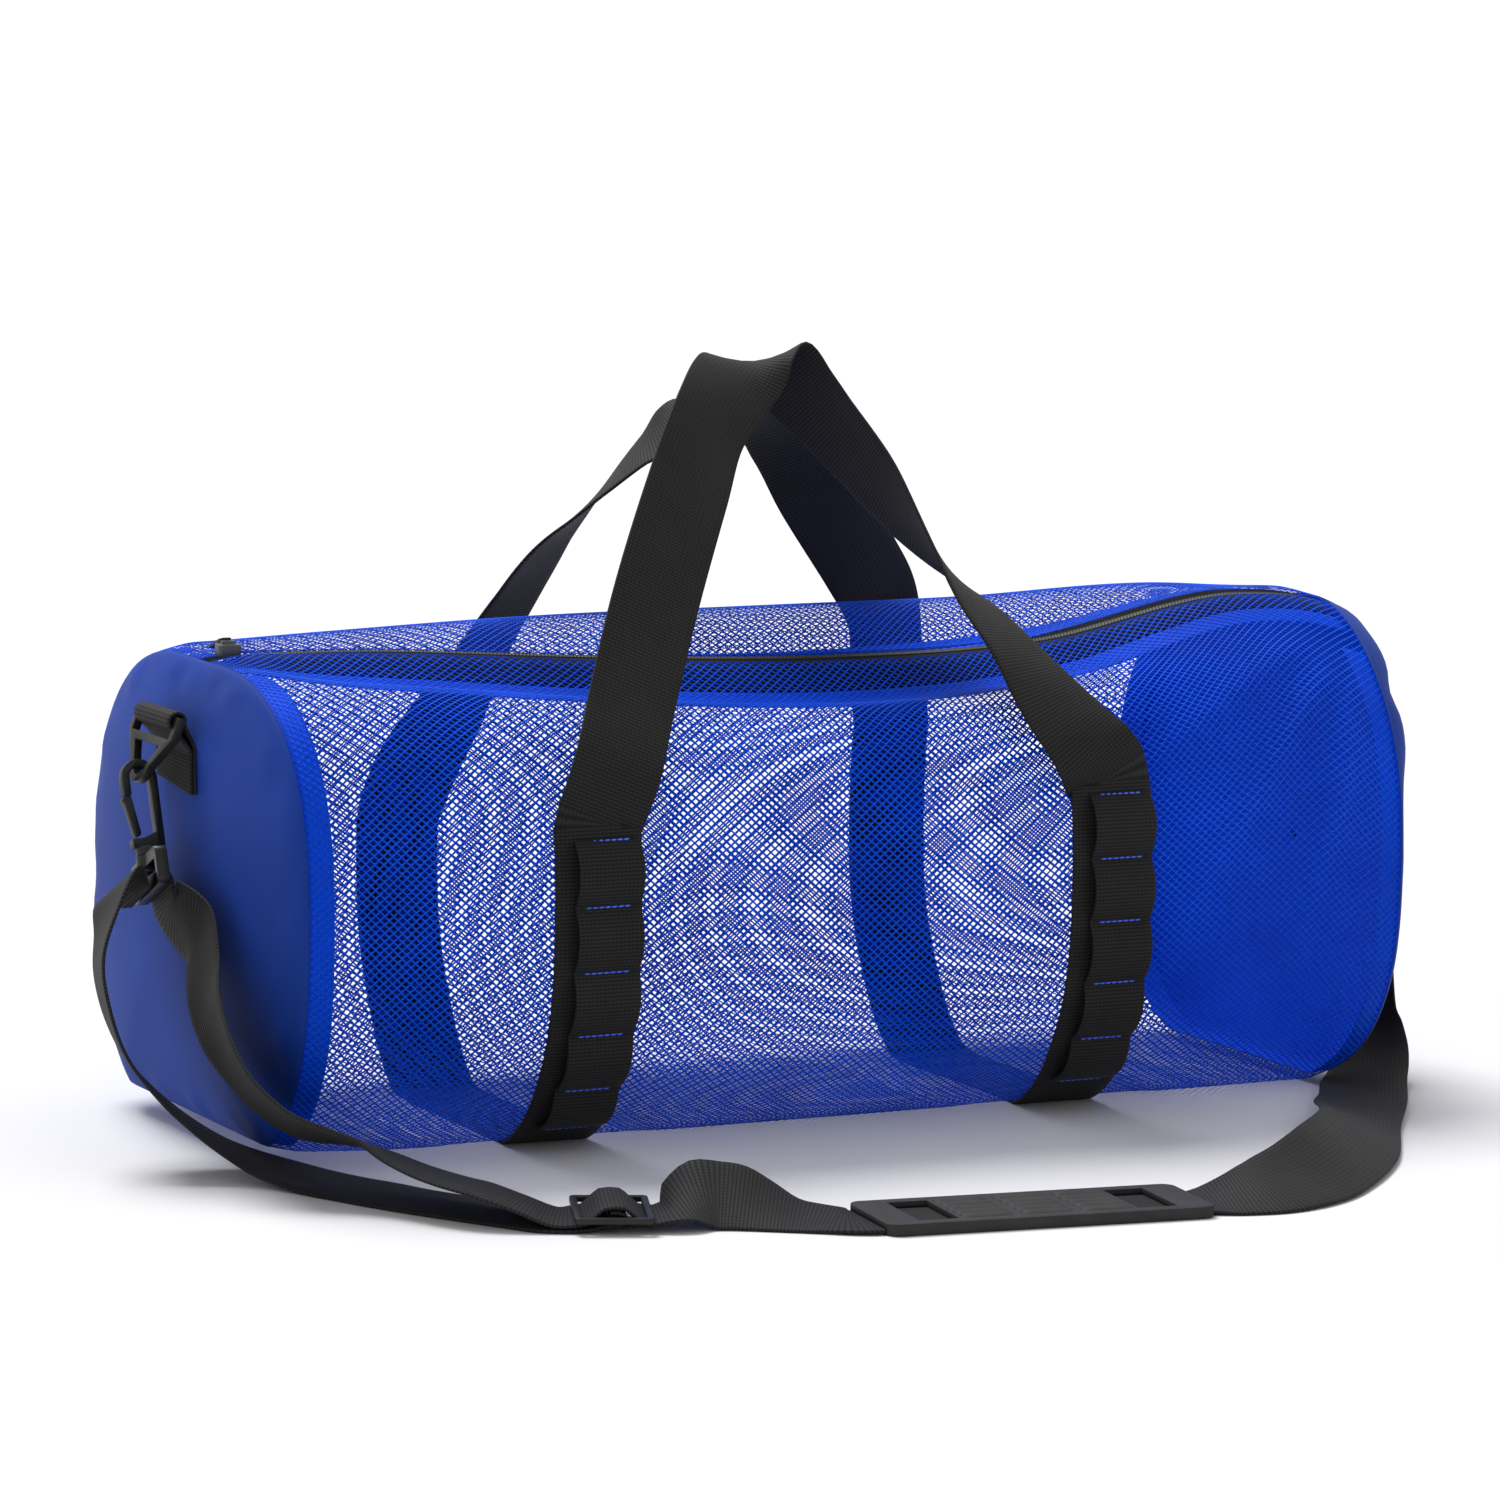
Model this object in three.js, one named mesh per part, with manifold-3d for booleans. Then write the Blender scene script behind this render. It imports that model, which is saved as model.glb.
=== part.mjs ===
import * as THREE from 'three';
import { mergeVertices } from 'three/addons/utils/BufferGeometryUtils.js';
import Module from 'manifold-3d';

// A mesh barrel duffel bag lying on its bottom, in millimetres. X runs along the bag from its
// left end to its right end, the front faces -Y, and Z = 0 is the floor.

const wasm = await Module();
wasm.setup();

// Cloth and webbing
const CLOTH = 1.2;
const GAP = 0.4;
const WEB_WIDTH = 50;
const WEB_THICK = 1.8;
const LEG_SEAT = 0.5;
const LOOP_WEB_WIDTH = 38;
const LOOP_WEB_THICK = 1.5;
const LOOP_PITCH = 35;

// Bag body: the two ends, the squareness of its rounded section, and the fold in under the floor line
const LEFT_END = -330;
const RIGHT_END = 335;
const SECTION_POWER = 2.6;
const UNDER_FLOOR = -8;
const END_TUCK = 0.03;
const END_TUCK_LENGTH = 30;
const PANEL_BULGE = 15;
const PANEL_EDGE = 6;
const ZIP_SAG_DEG = 24;
const ZIP_BEHIND_DEG = 16;
const ZIP_RIDGE_DEG = 10;

// Zip, measured across the bag from the middle of the zip
const ZIP_COIL_HALF = 2.6;
const ZIP_SLIT_HALF = 7;
const ZIP_TAPE_EDGE = 16;
const ZIP_HEM_EDGE = 34;
const ZIP_UNDER = 0.8;
const ZIP_TAPE_THICK = 0.8;
const COIL_THICK = 2.2;
const ZIP_SLIDER = { length: 13, width: 9, height: 6.4, at: -317 };
const ZIP_PULL = { length: 20, width: 7, thick: 1.8, slopeDeg: 20, lift: 2.3 };
const SEAM_TAPE_THICK = 1;

// End fittings. The hook is measured from the middle of its arch, X out of the end and Z up.
const TAB_LENGTH = 35;
const TAB_SEAT = 0.1;
const BAR_OUT = 13.5;
const BAR_HEIGHT = 231;
const BAR_SHIFT = -10;
const TAB_SKEW = { shift: 10, turnDeg: 6 };
const RING = {
  half: 30.5, bar: 2.4, slotHalf: 26, slotHeight: 8, midBar: 4.4,
  depth: 37, nose: 13.5, rim: 4.2, thick: 4.4, tiltDeg: 21,
};
const HOOK = {
  inside: 5.6, outside: 9.8, thick: 5.8, noseDrop: 9.5, blockTop: -33, blockBottom: -38.5, blockHalf: 8.2,
  hinge: { x: 4.8, z: -30 }, gateHalf: 2.1, gateThick: 5,
};
const HOOK_HANG = { left: -0.5, right: 0 };
const HOOK_LEAN = { left: 21, right: 16 };
const HOOK_SWIVEL = { left: -8, right: 0 };
const SWIVEL = {
  collarRadius: 6, collarHeight: 4.5, pinRadius: 3.2, pinLength: 10.4, headRadius: 5, headHeight: 2.4,
};
const HOOK_LOOP = {
  width: 61, topBar: 6.2, slotHeight: 9.5, bar: 4.8, slotWidth: 52.4, thick: 6.4, bossRadius: 6.6,
};

// Shoulder strap fittings, and where they lie on the floor
const STRAP_SLIDER = {
  length: 40, width: 60, thick: 3, slot: 13.5, centreBar: 6, slotWidth: 52, height: 7.5,
};
const STRAP_SLIDER_AT = { x: -219, y: -285, turnDeg: -22 };
const PAD = { length: 180, width: 61, thick: 6.4, corner: 7, slotLength: 22, slotWidth: 46, slotAt: 60 };
const PAD_TUNNEL = { floor: 0.8, height: 2.6, width: 51 };
const PAD_AT = { x: -11, y: -348, turnDeg: -7 };

const COLOURS = {
  mesh: 0x0a2cc0, panel: 0x2a4fae, tape: 0x0f35c4, webbing: 0x1c1c1e, zip: 0x101114,
  plastic: 0x141416, metal: 0x55585c, pad: 0x3a3b3d,
};

// Cross-sections along the bag: half width, top of the section, floor under it, sideways shift,
// how far the zip has sunk, how high its stiff tapes stand out of the sag, and how far it has rolled to
// the front.
const SECTIONS = [
  { x: -330, half: 156, top: 268, floor: 14, shift: -4, drop: 4, ridge: 0, zip: 2 },
  { x: -300, half: 154, top: 269, floor: 8, shift: -1, drop: 5, ridge: 14, zip: 3 },
  { x: -235, half: 152, top: 272, floor: 1, shift: 2, drop: 8, ridge: 28, zip: 6 },
  { x: -110, half: 152, top: 276, floor: 0, shift: 0, drop: 16, ridge: 32, zip: 14 },
  { x: 30, half: 152, top: 277, floor: 0, shift: 0, drop: 20, ridge: 33, zip: 17 },
  { x: 160, half: 152, top: 278, floor: 0, shift: 0, drop: 17, ridge: 22, zip: 16 },
  { x: 270, half: 152, top: 280, floor: 1, shift: -2, drop: 3, ridge: 6, zip: 18 },
  { x: 335, half: 150, top: 272, floor: 5, shift: -6, drop: -8, ridge: 0, zip: 24 },
];

// Where the webbing legs are sewn on: the leg's place along the bag, the place where it crosses under
// the bag, and the height of the top of the sewing.
const LEGS = {
  frontLeft: { x: -165, under: -158, top: 181 },
  frontRight: { x: 146, under: 158, top: 191 },
  backLeft: { x: -147, under: -158, top: 145 },
  backRight: { x: 170, under: 158, top: 186 },
};

const rad = THREE.MathUtils.degToRad;
const v3 = (x, y, z) => new THREE.Vector3(x, y, z);

// Smooth value of one table column at x: a cubic between rows, with slopes from the neighbours.
function column(name, x) {
  const last = SECTIONS.length - 1;
  let i = 0;
  while (i < last - 1 && x > SECTIONS[i + 1].x) i += 1;
  const slope = (k) => {
    const before = SECTIONS[Math.max(k - 1, 0)];
    const after = SECTIONS[Math.min(k + 1, last)];
    return (after[name] - before[name]) / (after.x - before.x);
  };
  const start = SECTIONS[i];
  const end = SECTIONS[i + 1];
  const span = end.x - start.x;
  const t = THREE.MathUtils.clamp((x - start.x) / span, 0, 1);
  const t2 = t * t;
  const t3 = t2 * t;
  return start[name] * (2 * t3 - 3 * t2 + 1) + slope(i) * span * (t3 - 2 * t2 + t)
    + end[name] * (3 * t2 - 2 * t3) + slope(i + 1) * span * (t3 - t2);
}

// The mesh is held off the floor by the webbing that crosses under it.
function floorAt(x) {
  const lift = (middle) => 1 - THREE.MathUtils.smoothstep(Math.abs(x - middle), 44, 76);
  const over = Math.max(lift(LEGS.frontLeft.under), lift(LEGS.frontRight.under));
  return Math.max(column('floor', x), (WEB_THICK + LEG_SEAT + 0.1) * over);
}

// Point on the outside of the bag. Angle 0 is straight up, 90 degrees is the front, 180 is underneath.
function skin(x, angle) {
  const half = column('half', x);
  const top = column('top', x);
  const tall = (top - UNDER_FLOOR) / 2;
  const middle = (top + UNDER_FLOOR) / 2;
  const across = Math.abs(Math.sin(angle) / half) ** SECTION_POWER;
  const upright = Math.abs(Math.cos(angle) / tall) ** SECTION_POWER;
  const nearEnd = Math.min(x - LEFT_END, RIGHT_END - x);
  const tuck = THREE.MathUtils.clamp(1 - nearEnd / END_TUCK_LENGTH, 0, 1);
  const radius = (1 - END_TUCK * tuck * tuck) * (across + upright) ** (-1 / SECTION_POWER);
  const turn = angle - rad(column('zip', x));
  const fromZip = Math.atan2(Math.sin(turn), Math.cos(turn));
  const bell = (degrees) => Math.exp(-((fromZip / rad(degrees)) ** 2));
  const ridge = column('ridge', x);
  const trough = bell(fromZip < 0 ? ZIP_BEHIND_DEG : ZIP_SAG_DEG) - bell(ZIP_RIDGE_DEG);
  const sag = column('drop', x) * bell(ZIP_SAG_DEG) + ridge * trough;
  const z = Math.max(middle + radius * Math.cos(angle) - sag, floorAt(x));
  return v3(x, column('shift', x) - radius * Math.sin(angle), z);
}

// Outward direction of the section at that point.
function outward(x, angle) {
  const step = rad(1.5);
  const along = skin(x, angle + step).sub(skin(x, angle - step));
  return v3(0, along.z, -along.y).normalize();
}

function offSkin(x, angle, distance) {
  return skin(x, angle).addScaledVector(outward(x, angle), distance);
}

// Angle of a line that runs beside the zip, so many millimetres from it, positive to the front.
function besideZip(x, millimetres) {
  const zip = rad(column('zip', x));
  const centre = v3(x, column('shift', x), (column('top', x) + UNDER_FLOOR) / 2);
  return zip + millimetres / skin(x, zip).distanceTo(centre);
}

// Angle on the front (side 1) or the back (side -1) where the outside reaches a height.
function angleAtHeight(x, height, side) {
  let low = rad(40);
  let high = rad(170);
  for (let i = 0; i < 40; i += 1) {
    const middle = (low + high) / 2;
    if (skin(x, side * middle).z > height) low = middle;
    else high = middle;
  }
  return side * low;
}

function closedGeometry(points, triangles) {
  const geometry = new THREE.BufferGeometry();
  geometry.setAttribute('position', new THREE.Float32BufferAttribute(points.flatMap((p) => p.toArray()), 3));
  let volume = 0;
  for (const [a, b, c] of triangles) {
    volume += points[a].dot(v3().crossVectors(points[b], points[c]));
  }
  geometry.setIndex(triangles.flatMap(([a, b, c]) => (volume < 0 ? [a, c, b] : [a, b, c])));
  return geometry;
}

// A sheet with two faces and closed edges, from two grids of points. A ring closes on itself across.
function sheet(front, back, ring = false) {
  const rows = front.length;
  const across = front[0].length;
  const points = [...front.flat(), ...back.flat()];
  const count = rows * across;
  const id = (i, j) => i * across + (j % across);
  const triangles = [];
  const quad = (a, b, c, d) => triangles.push([a, b, c], [a, c, d]);
  const cells = ring ? across : across - 1;
  for (let i = 0; i < rows - 1; i += 1) {
    for (let j = 0; j < cells; j += 1) {
      quad(id(i, j), id(i + 1, j), id(i + 1, j + 1), id(i, j + 1));
      quad(count + id(i, j), count + id(i, j + 1), count + id(i + 1, j + 1), count + id(i + 1, j));
    }
  }
  const edge = (a, b) => quad(a, b, count + b, count + a);
  for (let j = 0; j < cells; j += 1) {
    edge(id(0, j), id(0, j + 1));
    edge(id(rows - 1, j + 1), id(rows - 1, j));
  }
  if (!ring) {
    for (let i = 0; i < rows - 1; i += 1) {
      edge(id(i + 1, 0), id(i, 0));
      edge(id(i, across - 1), id(i + 1, across - 1));
    }
  }
  return closedGeometry(points, triangles);
}

// The rows of a webbing path with their crosswise directions squared to the path.
function squared(rows) {
  return rows.map((row, i) => {
    const before = rows[Math.max(i - 1, 0)].at;
    const after = rows[Math.min(i + 1, rows.length - 1)].at;
    const ahead = after.clone().sub(before).normalize();
    const across = row.across.clone();
    if (!row.skewed) across.addScaledVector(ahead, -across.dot(ahead));
    return { ...row, ahead, across: across.normalize() };
  });
}

// Webbing along a path. Each row has its middle and the direction across the webbing.
function ribbon(rows, width = WEB_WIDTH, thick = WEB_THICK) {
  const front = [];
  const back = [];
  for (const { at, across, ahead } of squared(rows)) {
    const face = v3().crossVectors(across, ahead).normalize();
    const corner = (side, up) => at.clone()
      .addScaledVector(across, side * width / 2).addScaledVector(face, up * thick / 2);
    front.push([corner(-1, 1), corner(1, 1)]);
    back.push([corner(-1, -1), corner(1, -1)]);
  }
  return sheet(front, back);
}

// Rows of a free strap, smoothed to about one row every so many millimetres.
function smooth(rows, spacing) {
  const places = new THREE.CatmullRomCurve3(rows.map((r) => v3(...r.at)), false, 'centripetal');
  const turns = new THREE.CatmullRomCurve3(rows.map((r) => v3(...r.across)), false, 'catmullrom');
  const result = [];
  for (let i = 0; i < rows.length - 1; i += 1) {
    const length = v3(...rows[i].at).distanceTo(v3(...rows[i + 1].at));
    const steps = Math.max(1, Math.round(length / spacing));
    for (let k = 0; k < steps; k += 1) {
      const t = (i + k / steps) / (rows.length - 1);
      result.push({ at: places.getPoint(t), across: turns.getPoint(t).normalize() });
    }
  }
  const last = rows[rows.length - 1];
  result.push({ at: v3(...last.at), across: v3(...last.across).normalize() });
  return result;
}

function manifoldOf(geometry, matrix) {
  const plain = geometry.clone();
  if (matrix) plain.applyMatrix4(matrix);
  plain.deleteAttribute('normal');
  plain.deleteAttribute('uv');
  const merged = mergeVertices(plain, 1e-4);
  return new wasm.Manifold(new wasm.Mesh({
    numProp: 3,
    vertProperties: new Float32Array(merged.attributes.position.array),
    triVerts: new Uint32Array(merged.index.array),
  }));
}

function geometryOf(solid) {
  const mesh = solid.getMesh();
  const geometry = new THREE.BufferGeometry();
  geometry.setAttribute('position', new THREE.BufferAttribute(new Float32Array(mesh.vertProperties), 3));
  geometry.setIndex(Array.from(mesh.triVerts));
  return geometry;
}

const moved = (x, y, z) => new THREE.Matrix4().makeTranslation(x, y, z);

function boxAt(width, depth, height, x, y, z) {
  return manifoldOf(new THREE.BoxGeometry(width, depth, height), moved(x, y, z));
}

// Round bar along local Z, with its middle at a point.
function barAt(radius, height, x, y, z, sides = 16) {
  const turned = new THREE.Matrix4().makeRotationX(Math.PI / 2);
  const bar = new THREE.CylinderGeometry(radius, radius, height, sides);
  return manifoldOf(bar, moved(x, y, z).multiply(turned));
}

function roundedRectangle(width, height, radius) {
  const shape = new THREE.Shape();
  const w = width / 2;
  const h = height / 2;
  shape.absarc(w - radius, h - radius, radius, 0, Math.PI / 2);
  shape.absarc(radius - w, h - radius, radius, Math.PI / 2, Math.PI);
  shape.absarc(radius - w, radius - h, radius, Math.PI, Math.PI * 1.5);
  shape.absarc(w - radius, radius - h, radius, Math.PI * 1.5, Math.PI * 2);
  shape.closePath();
  return shape;
}

function slotPath(left, right, low, high) {
  const path = new THREE.Path();
  path.moveTo(left, low);
  path.lineTo(right, low);
  path.lineTo(right, high);
  path.lineTo(left, high);
  path.closePath();
  return path;
}

function plate(shape, thick, curveSegments = 4) {
  const geometry = new THREE.ExtrudeGeometry(shape, { depth: thick, bevelEnabled: false, curveSegments });
  geometry.translate(0, 0, -thick / 2);
  return geometry;
}

const bag = new THREE.Group();

function addPiece(name, geometry, colour, roughness = 0.8, parent = bag) {
  const material = new THREE.MeshStandardMaterial({ color: colour, roughness, metalness: 0 });
  const mesh = new THREE.Mesh(geometry, material);
  mesh.name = name;
  parent.add(mesh);
  return mesh;
}

// Stations along the bag, closer together where the cloth turns in at an end or steps over webbing.
const BETWEEN_ENDS = [-275, -230, -194, -122, -86, -45, 0, 45, 86, 122, 194, 230, 275];
const nearEnd = (side) => [0, 11, 22].map((inset) => (side < 0 ? LEFT_END : RIGHT_END) - side * inset);
const STATIONS = [...nearEnd(-1), ...BETWEEN_ENDS, ...nearEnd(1).reverse()];

function stationsAlong(from, to) {
  return [from, ...STATIONS.filter((x) => x > from + 3 && x < to - 3), to];
}

// Angles round the wall from the front edge of the zip to the back edge, closer together beside the zip.
const ROUND_STEPS = 39;
const ROUND_CROWDING = 0.6;
function wallAngles(x) {
  const start = besideZip(x, ZIP_SLIT_HALF);
  const end = besideZip(x, -ZIP_SLIT_HALF) + 2 * Math.PI;
  return Array.from({ length: ROUND_STEPS + 1 }, (_, j) => {
    const t = j / ROUND_STEPS;
    const eased = t - ROUND_CROWDING * Math.sin(2 * Math.PI * t) / (2 * Math.PI);
    return start + (end - start) * eased;
  });
}

// Mesh wall: one sheet from the front edge of the zip round underneath to the back edge.
function meshWall() {
  const grid = (depth) => STATIONS.map((x) => wallAngles(x).map((a) => offSkin(x, a, -depth)));
  return sheet(grid(0), grid(CLOTH));
}

// End panel: a shallow cushion-like dome on the end section with a tighter roll at its rim.
function panelRise(reach) {
  return PANEL_BULGE * (1 - reach ** 2.2) + PANEL_EDGE * Math.sqrt(Math.max(1 - reach ** 9, 0));
}

function endPanel(side) {
  const end = side < 0 ? LEFT_END : RIGHT_END;
  const around = 38;
  const reaches = [1, 0.98, 0.92, 0.75, 0.42];
  const centre = v3(end, column('shift', end), (column('top', end) + UNDER_FLOOR) / 2);
  const ringAt = (reach, depth) => Array.from({ length: around }, (_, j) => {
    const rim = skin(end, 2 * Math.PI * j / around);
    const point = centre.clone().lerp(rim, reach * (1 - depth / rim.distanceTo(centre)));
    point.x = end + side * (GAP + Math.max(panelRise(reach) - depth * (1 - reach ** 12), 0));
    return point;
  });
  const layers = [...reaches.map((r) => ringAt(r, 0)), ...reaches.map((r) => ringAt(r, CLOTH))];
  const points = layers.flat();
  const tips = [0, CLOTH].map((depth) => {
    const tip = centre.clone();
    tip.x = end + side * (GAP + panelRise(0) - depth);
    points.push(tip);
    return points.length - 1;
  });
  const triangles = [];
  const id = (layer, j) => layer * around + (j % around);
  const quad = (a, b, c, d) => triangles.push([a, b, c], [a, c, d]);
  const count = reaches.length;
  for (let j = 0; j < around; j += 1) {
    for (let k = 0; k < count - 1; k += 1) {
      quad(id(k, j), id(k + 1, j), id(k + 1, j + 1), id(k, j + 1));
      quad(id(count + k, j), id(count + k, j + 1), id(count + k + 1, j + 1), id(count + k + 1, j));
    }
    triangles.push([id(count - 1, j), tips[0], id(count - 1, j + 1)]);
    triangles.push([id(2 * count - 1, j), id(2 * count - 1, j + 1), tips[1]]);
    quad(id(0, j + 1), id(count, j + 1), id(count, j), id(0, j));
  }
  return closedGeometry(points, triangles);
}

// Outside of an end panel at a place across and up the end.
function panelPoint(side, y, z) {
  const end = side < 0 ? LEFT_END : RIGHT_END;
  const fromMiddle = v3(0, y - column('shift', end), z - (column('top', end) + UNDER_FLOOR) / 2);
  const angle = Math.atan2(-fromMiddle.y, fromMiddle.z);
  const centre = v3(end, column('shift', end), (column('top', end) + UNDER_FLOOR) / 2);
  const reach = fromMiddle.length() / skin(end, angle).distanceTo(centre);
  return v3(end + side * (GAP + panelRise(Math.min(reach, 1))), y, z);
}

// Seam tape: a band inside the wall along the end seam, open where the zip comes in.
function seamTape(side) {
  const angles = (x) => wallAngles(x).slice(4, -4);
  const places = STATIONS.filter((x) => nearEnd(side).includes(x));
  const grid = (depth) => places.map((x) => angles(x).map((a) => offSkin(x, a, -depth)));
  const outside = CLOTH + GAP;
  return sheet(grid(outside), grid(outside + SEAM_TAPE_THICK));
}

// A strip that follows the zip between two distances from its middle and two heights off the skin.
function zipStrip(from, to, near, far, top, bottom) {
  const places = stationsAlong(from, to);
  const lines = [near, (near + far) / 2, far];
  const grid = (height) => places.map((x) => lines.map((d) => offSkin(x, besideZip(x, d), height)));
  return sheet(grid(top), grid(bottom));
}

addPiece('mesh_wall', meshWall(), COLOURS.mesh, 0.55);
for (const [side, name] of [[-1, 'left'], [1, 'right']]) {
  addPiece(`${name}_end_panel`, endPanel(side), COLOURS.panel);
  addPiece(`${name}_seam_tape`, seamTape(side), COLOURS.tape);
}

const zipLevel = -CLOTH - ZIP_UNDER;
const zipRun = [LEFT_END + 4, RIGHT_END - 3];
for (const [side, name] of [[1, 'front'], [-1, 'back']]) {
  const near = side * (ZIP_COIL_HALF + GAP);
  const edge = side * ZIP_TAPE_EDGE;
  const hem = side * (ZIP_TAPE_EDGE + GAP);
  const under = zipLevel - ZIP_TAPE_THICK;
  addPiece(`${name}_zip_tape`, zipStrip(...zipRun, near, edge, zipLevel, under), COLOURS.zip);
  addPiece(`${name}_zip_hem`, zipStrip(...zipRun, hem, side * ZIP_HEM_EDGE, zipLevel, under), COLOURS.tape);
}
const coilStart = ZIP_SLIDER.at + ZIP_SLIDER.length / 2 + GAP;
const coilTop = zipLevel + 0.7;
const coil = zipStrip(coilStart, zipRun[1], ZIP_COIL_HALF, -ZIP_COIL_HALF, coilTop, coilTop - COIL_THICK);
addPiece('zip_coil', coil, COLOURS.zip, 0.5);

// Zip slider and pull: a hollowed body standing on the zip, with a flat pull laid back over the mesh.
function zipSlider() {
  const { length, width, height, at } = ZIP_SLIDER;
  const zip = rad(column('zip', at));
  const seat = offSkin(at, zip, zipLevel + 3 * GAP);
  const tilt = new THREE.Group();
  tilt.position.copy(seat);
  tilt.rotation.x = zip;
  const body = plate(roundedRectangle(length, width, 2.5), height);
  const groove = boxAt(length, 3.4, 1.8, 3, 0, -height / 2 + 2.2);
  const rail = boxAt(length - 5, 2.6, 2.2, 0, 0, height / 2 + 0.6);
  const slider = geometryOf(manifoldOf(body).subtract(groove).add(rail));
  slider.translate(0, 0, height / 2);
  addPiece('zip_slider', slider, COLOURS.metal, 0.4, tilt);
  const outline = roundedRectangle(ZIP_PULL.length, ZIP_PULL.width, 3.2);
  outline.holes.push(slotPath(-ZIP_PULL.length / 2 + 2, -ZIP_PULL.length / 2 + 6, -1.5, 1.5));
  const pull = plate(outline, ZIP_PULL.thick);
  pull.rotateZ(Math.PI / 2);
  pull.translate(0, ZIP_PULL.length / 2, 0);
  pull.rotateX(-rad(ZIP_PULL.slopeDeg));
  pull.translate(0, 1.9, height + ZIP_PULL.lift);
  addPiece('zip_pull', pull, COLOURS.zip, 0.5, tilt);
  bag.add(tilt);
}
zipSlider();

// The sewn part of a handle leg, from the top of its sewing down to the middle of the bottom.
function sewnLeg(leg, side) {
  const start = angleAtHeight(leg.x, leg.top, side);
  const end = side * Math.PI;
  const steps = 22;
  const rows = [];
  for (let i = 0; i <= steps; i += 1) {
    const angle = start + (end - start) * i / steps;
    const inward = THREE.MathUtils.smoothstep(Math.abs(angle), rad(120), rad(165));
    const x = THREE.MathUtils.lerp(leg.x, leg.under, inward);
    const seat = LEG_SEAT + 0.2 * Math.max(2 - i, 0) + WEB_THICK / 2;
    const edges = [-1, 1].map((e) => offSkin(x + e * WEB_WIDTH / 2, angle, seat));
    const row = edges[0].clone().lerp(edges[1], 0.5);
    if (i === steps) row.y = -side * GAP;
    row.z = Math.max(row.z, WEB_THICK / 2 + 0.1);
    rows.push({ at: row, across: edges[1].sub(edges[0]).normalize(), skewed: true });
  }
  return rows;
}

// Free parts of the two handles. Both stand up and flop over at the top in a soft diagonal fold, and
// each has half a twist in one leg.
const FRONT_HANDLE = [
  { at: [-152, -146, 212], across: [0.94, -0.1, -0.3] },
  { at: [-136, -128, 243], across: [0.9, -0.15, -0.4] },
  { at: [-109, -100, 294], across: [0.86, -0.18, -0.46] },
  { at: [-70, -60, 352], across: [0.85, -0.1, -0.5] },
  { at: [-43, -32, 386], across: [0.85, 0.06, -0.5] },
  { at: [-20, -12, 403], across: [0.88, -0.15, -0.33] },
  { at: [0, 2, 413], across: [0.84, -0.5, 0.1] },
  { at: [16, 8, 411], across: [0.66, -0.66, 0.34] },
  { at: [30, 4, 396], across: [0.42, -0.82, 0.4] },
  { at: [42, -4, 380], across: [0.25, -0.88, 0.4] },
  { at: [60, -24, 352], across: [0.08, -0.93, 0.34] },
  { at: [72, -46, 327], across: [-0.16, -0.95, 0.26] },
  { at: [81, -66, 308], across: [-0.4, -0.9, 0.17] },
  { at: [92, -90, 286], across: [-0.63, -0.78, -0.06] },
  { at: [103, -116, 262], across: [-0.74, -0.65, -0.17] },
  { at: [115, -138, 235], across: [-0.87, -0.36, -0.3] },
  { at: [131, -153, 210], across: [-0.96, -0.05, -0.24] },
];
const BACK_HANDLE = [
  { at: [-142, 155, 158], across: [-0.99, 0.05, 0.12] },
  { at: [-132, 156, 177], across: [-0.95, 0, 0.25] },
  { at: [-114, 154, 206], across: [-0.86, -0.25, 0.38] },
  { at: [-97, 146, 242], across: [-0.7, -0.58, 0.4] },
  { at: [-84, 127, 276], across: [-0.6, -0.72, 0.35] },
  { at: [-77, 105, 302], across: [-0.52, -0.8, 0.28] },
  { at: [-65, 90, 322], across: [-0.44, -0.88, 0.16] },
  { at: [-53, 76, 341], across: [-0.3, -0.94, 0.1] },
  { at: [-38, 62, 361], across: [-0.1, -0.97, 0.05] },
  { at: [-24, 54, 374], across: [0.2, -0.95, -0.1] },
  { at: [-8, 52, 382], across: [0.4, -0.88, -0.1] },
  { at: [12, 55, 385], across: [0.25, -0.94, 0.1] },
  { at: [30, 59, 377], across: [0, -0.95, 0.3] },
  { at: [48, 60, 361], across: [0.2, -0.88, 0.42] },
  { at: [73, 64, 334], across: [0.5, -0.62, 0.58] },
  { at: [118, 98, 292], across: [0.78, -0.1, 0.6] },
  { at: [152, 130, 258], across: [0.88, 0, 0.45] },
  { at: [167, 152, 222], across: [0.97, 0, 0.2] },
];

function handle(left, right, side, free) {
  const facing = (rows, sign) => rows.map((r) => ({ ...r, across: r.across.clone().multiplyScalar(sign) }));
  const leftLeg = facing(sewnLeg(left, side), side).reverse();
  const rightLeg = facing(sewnLeg(right, side), -side);
  const asRow = (r) => ({ at: r.at.toArray(), across: r.across.toArray() });
  const bridge = [asRow(leftLeg[leftLeg.length - 1]), ...free, asRow(rightLeg[0])];
  const rows = smooth(bridge, 16);
  rows[0].skewed = true;
  rows[rows.length - 1].skewed = true;
  return ribbon([...leftLeg.slice(0, -1), ...rows, ...rightLeg.slice(1)]);
}

addPiece('front_handle', handle(LEGS.frontLeft, LEGS.frontRight, 1, FRONT_HANDLE), COLOURS.webbing);
addPiece('back_handle', handle(LEGS.backLeft, LEGS.backRight, -1, BACK_HANDLE), COLOURS.webbing);

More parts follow.
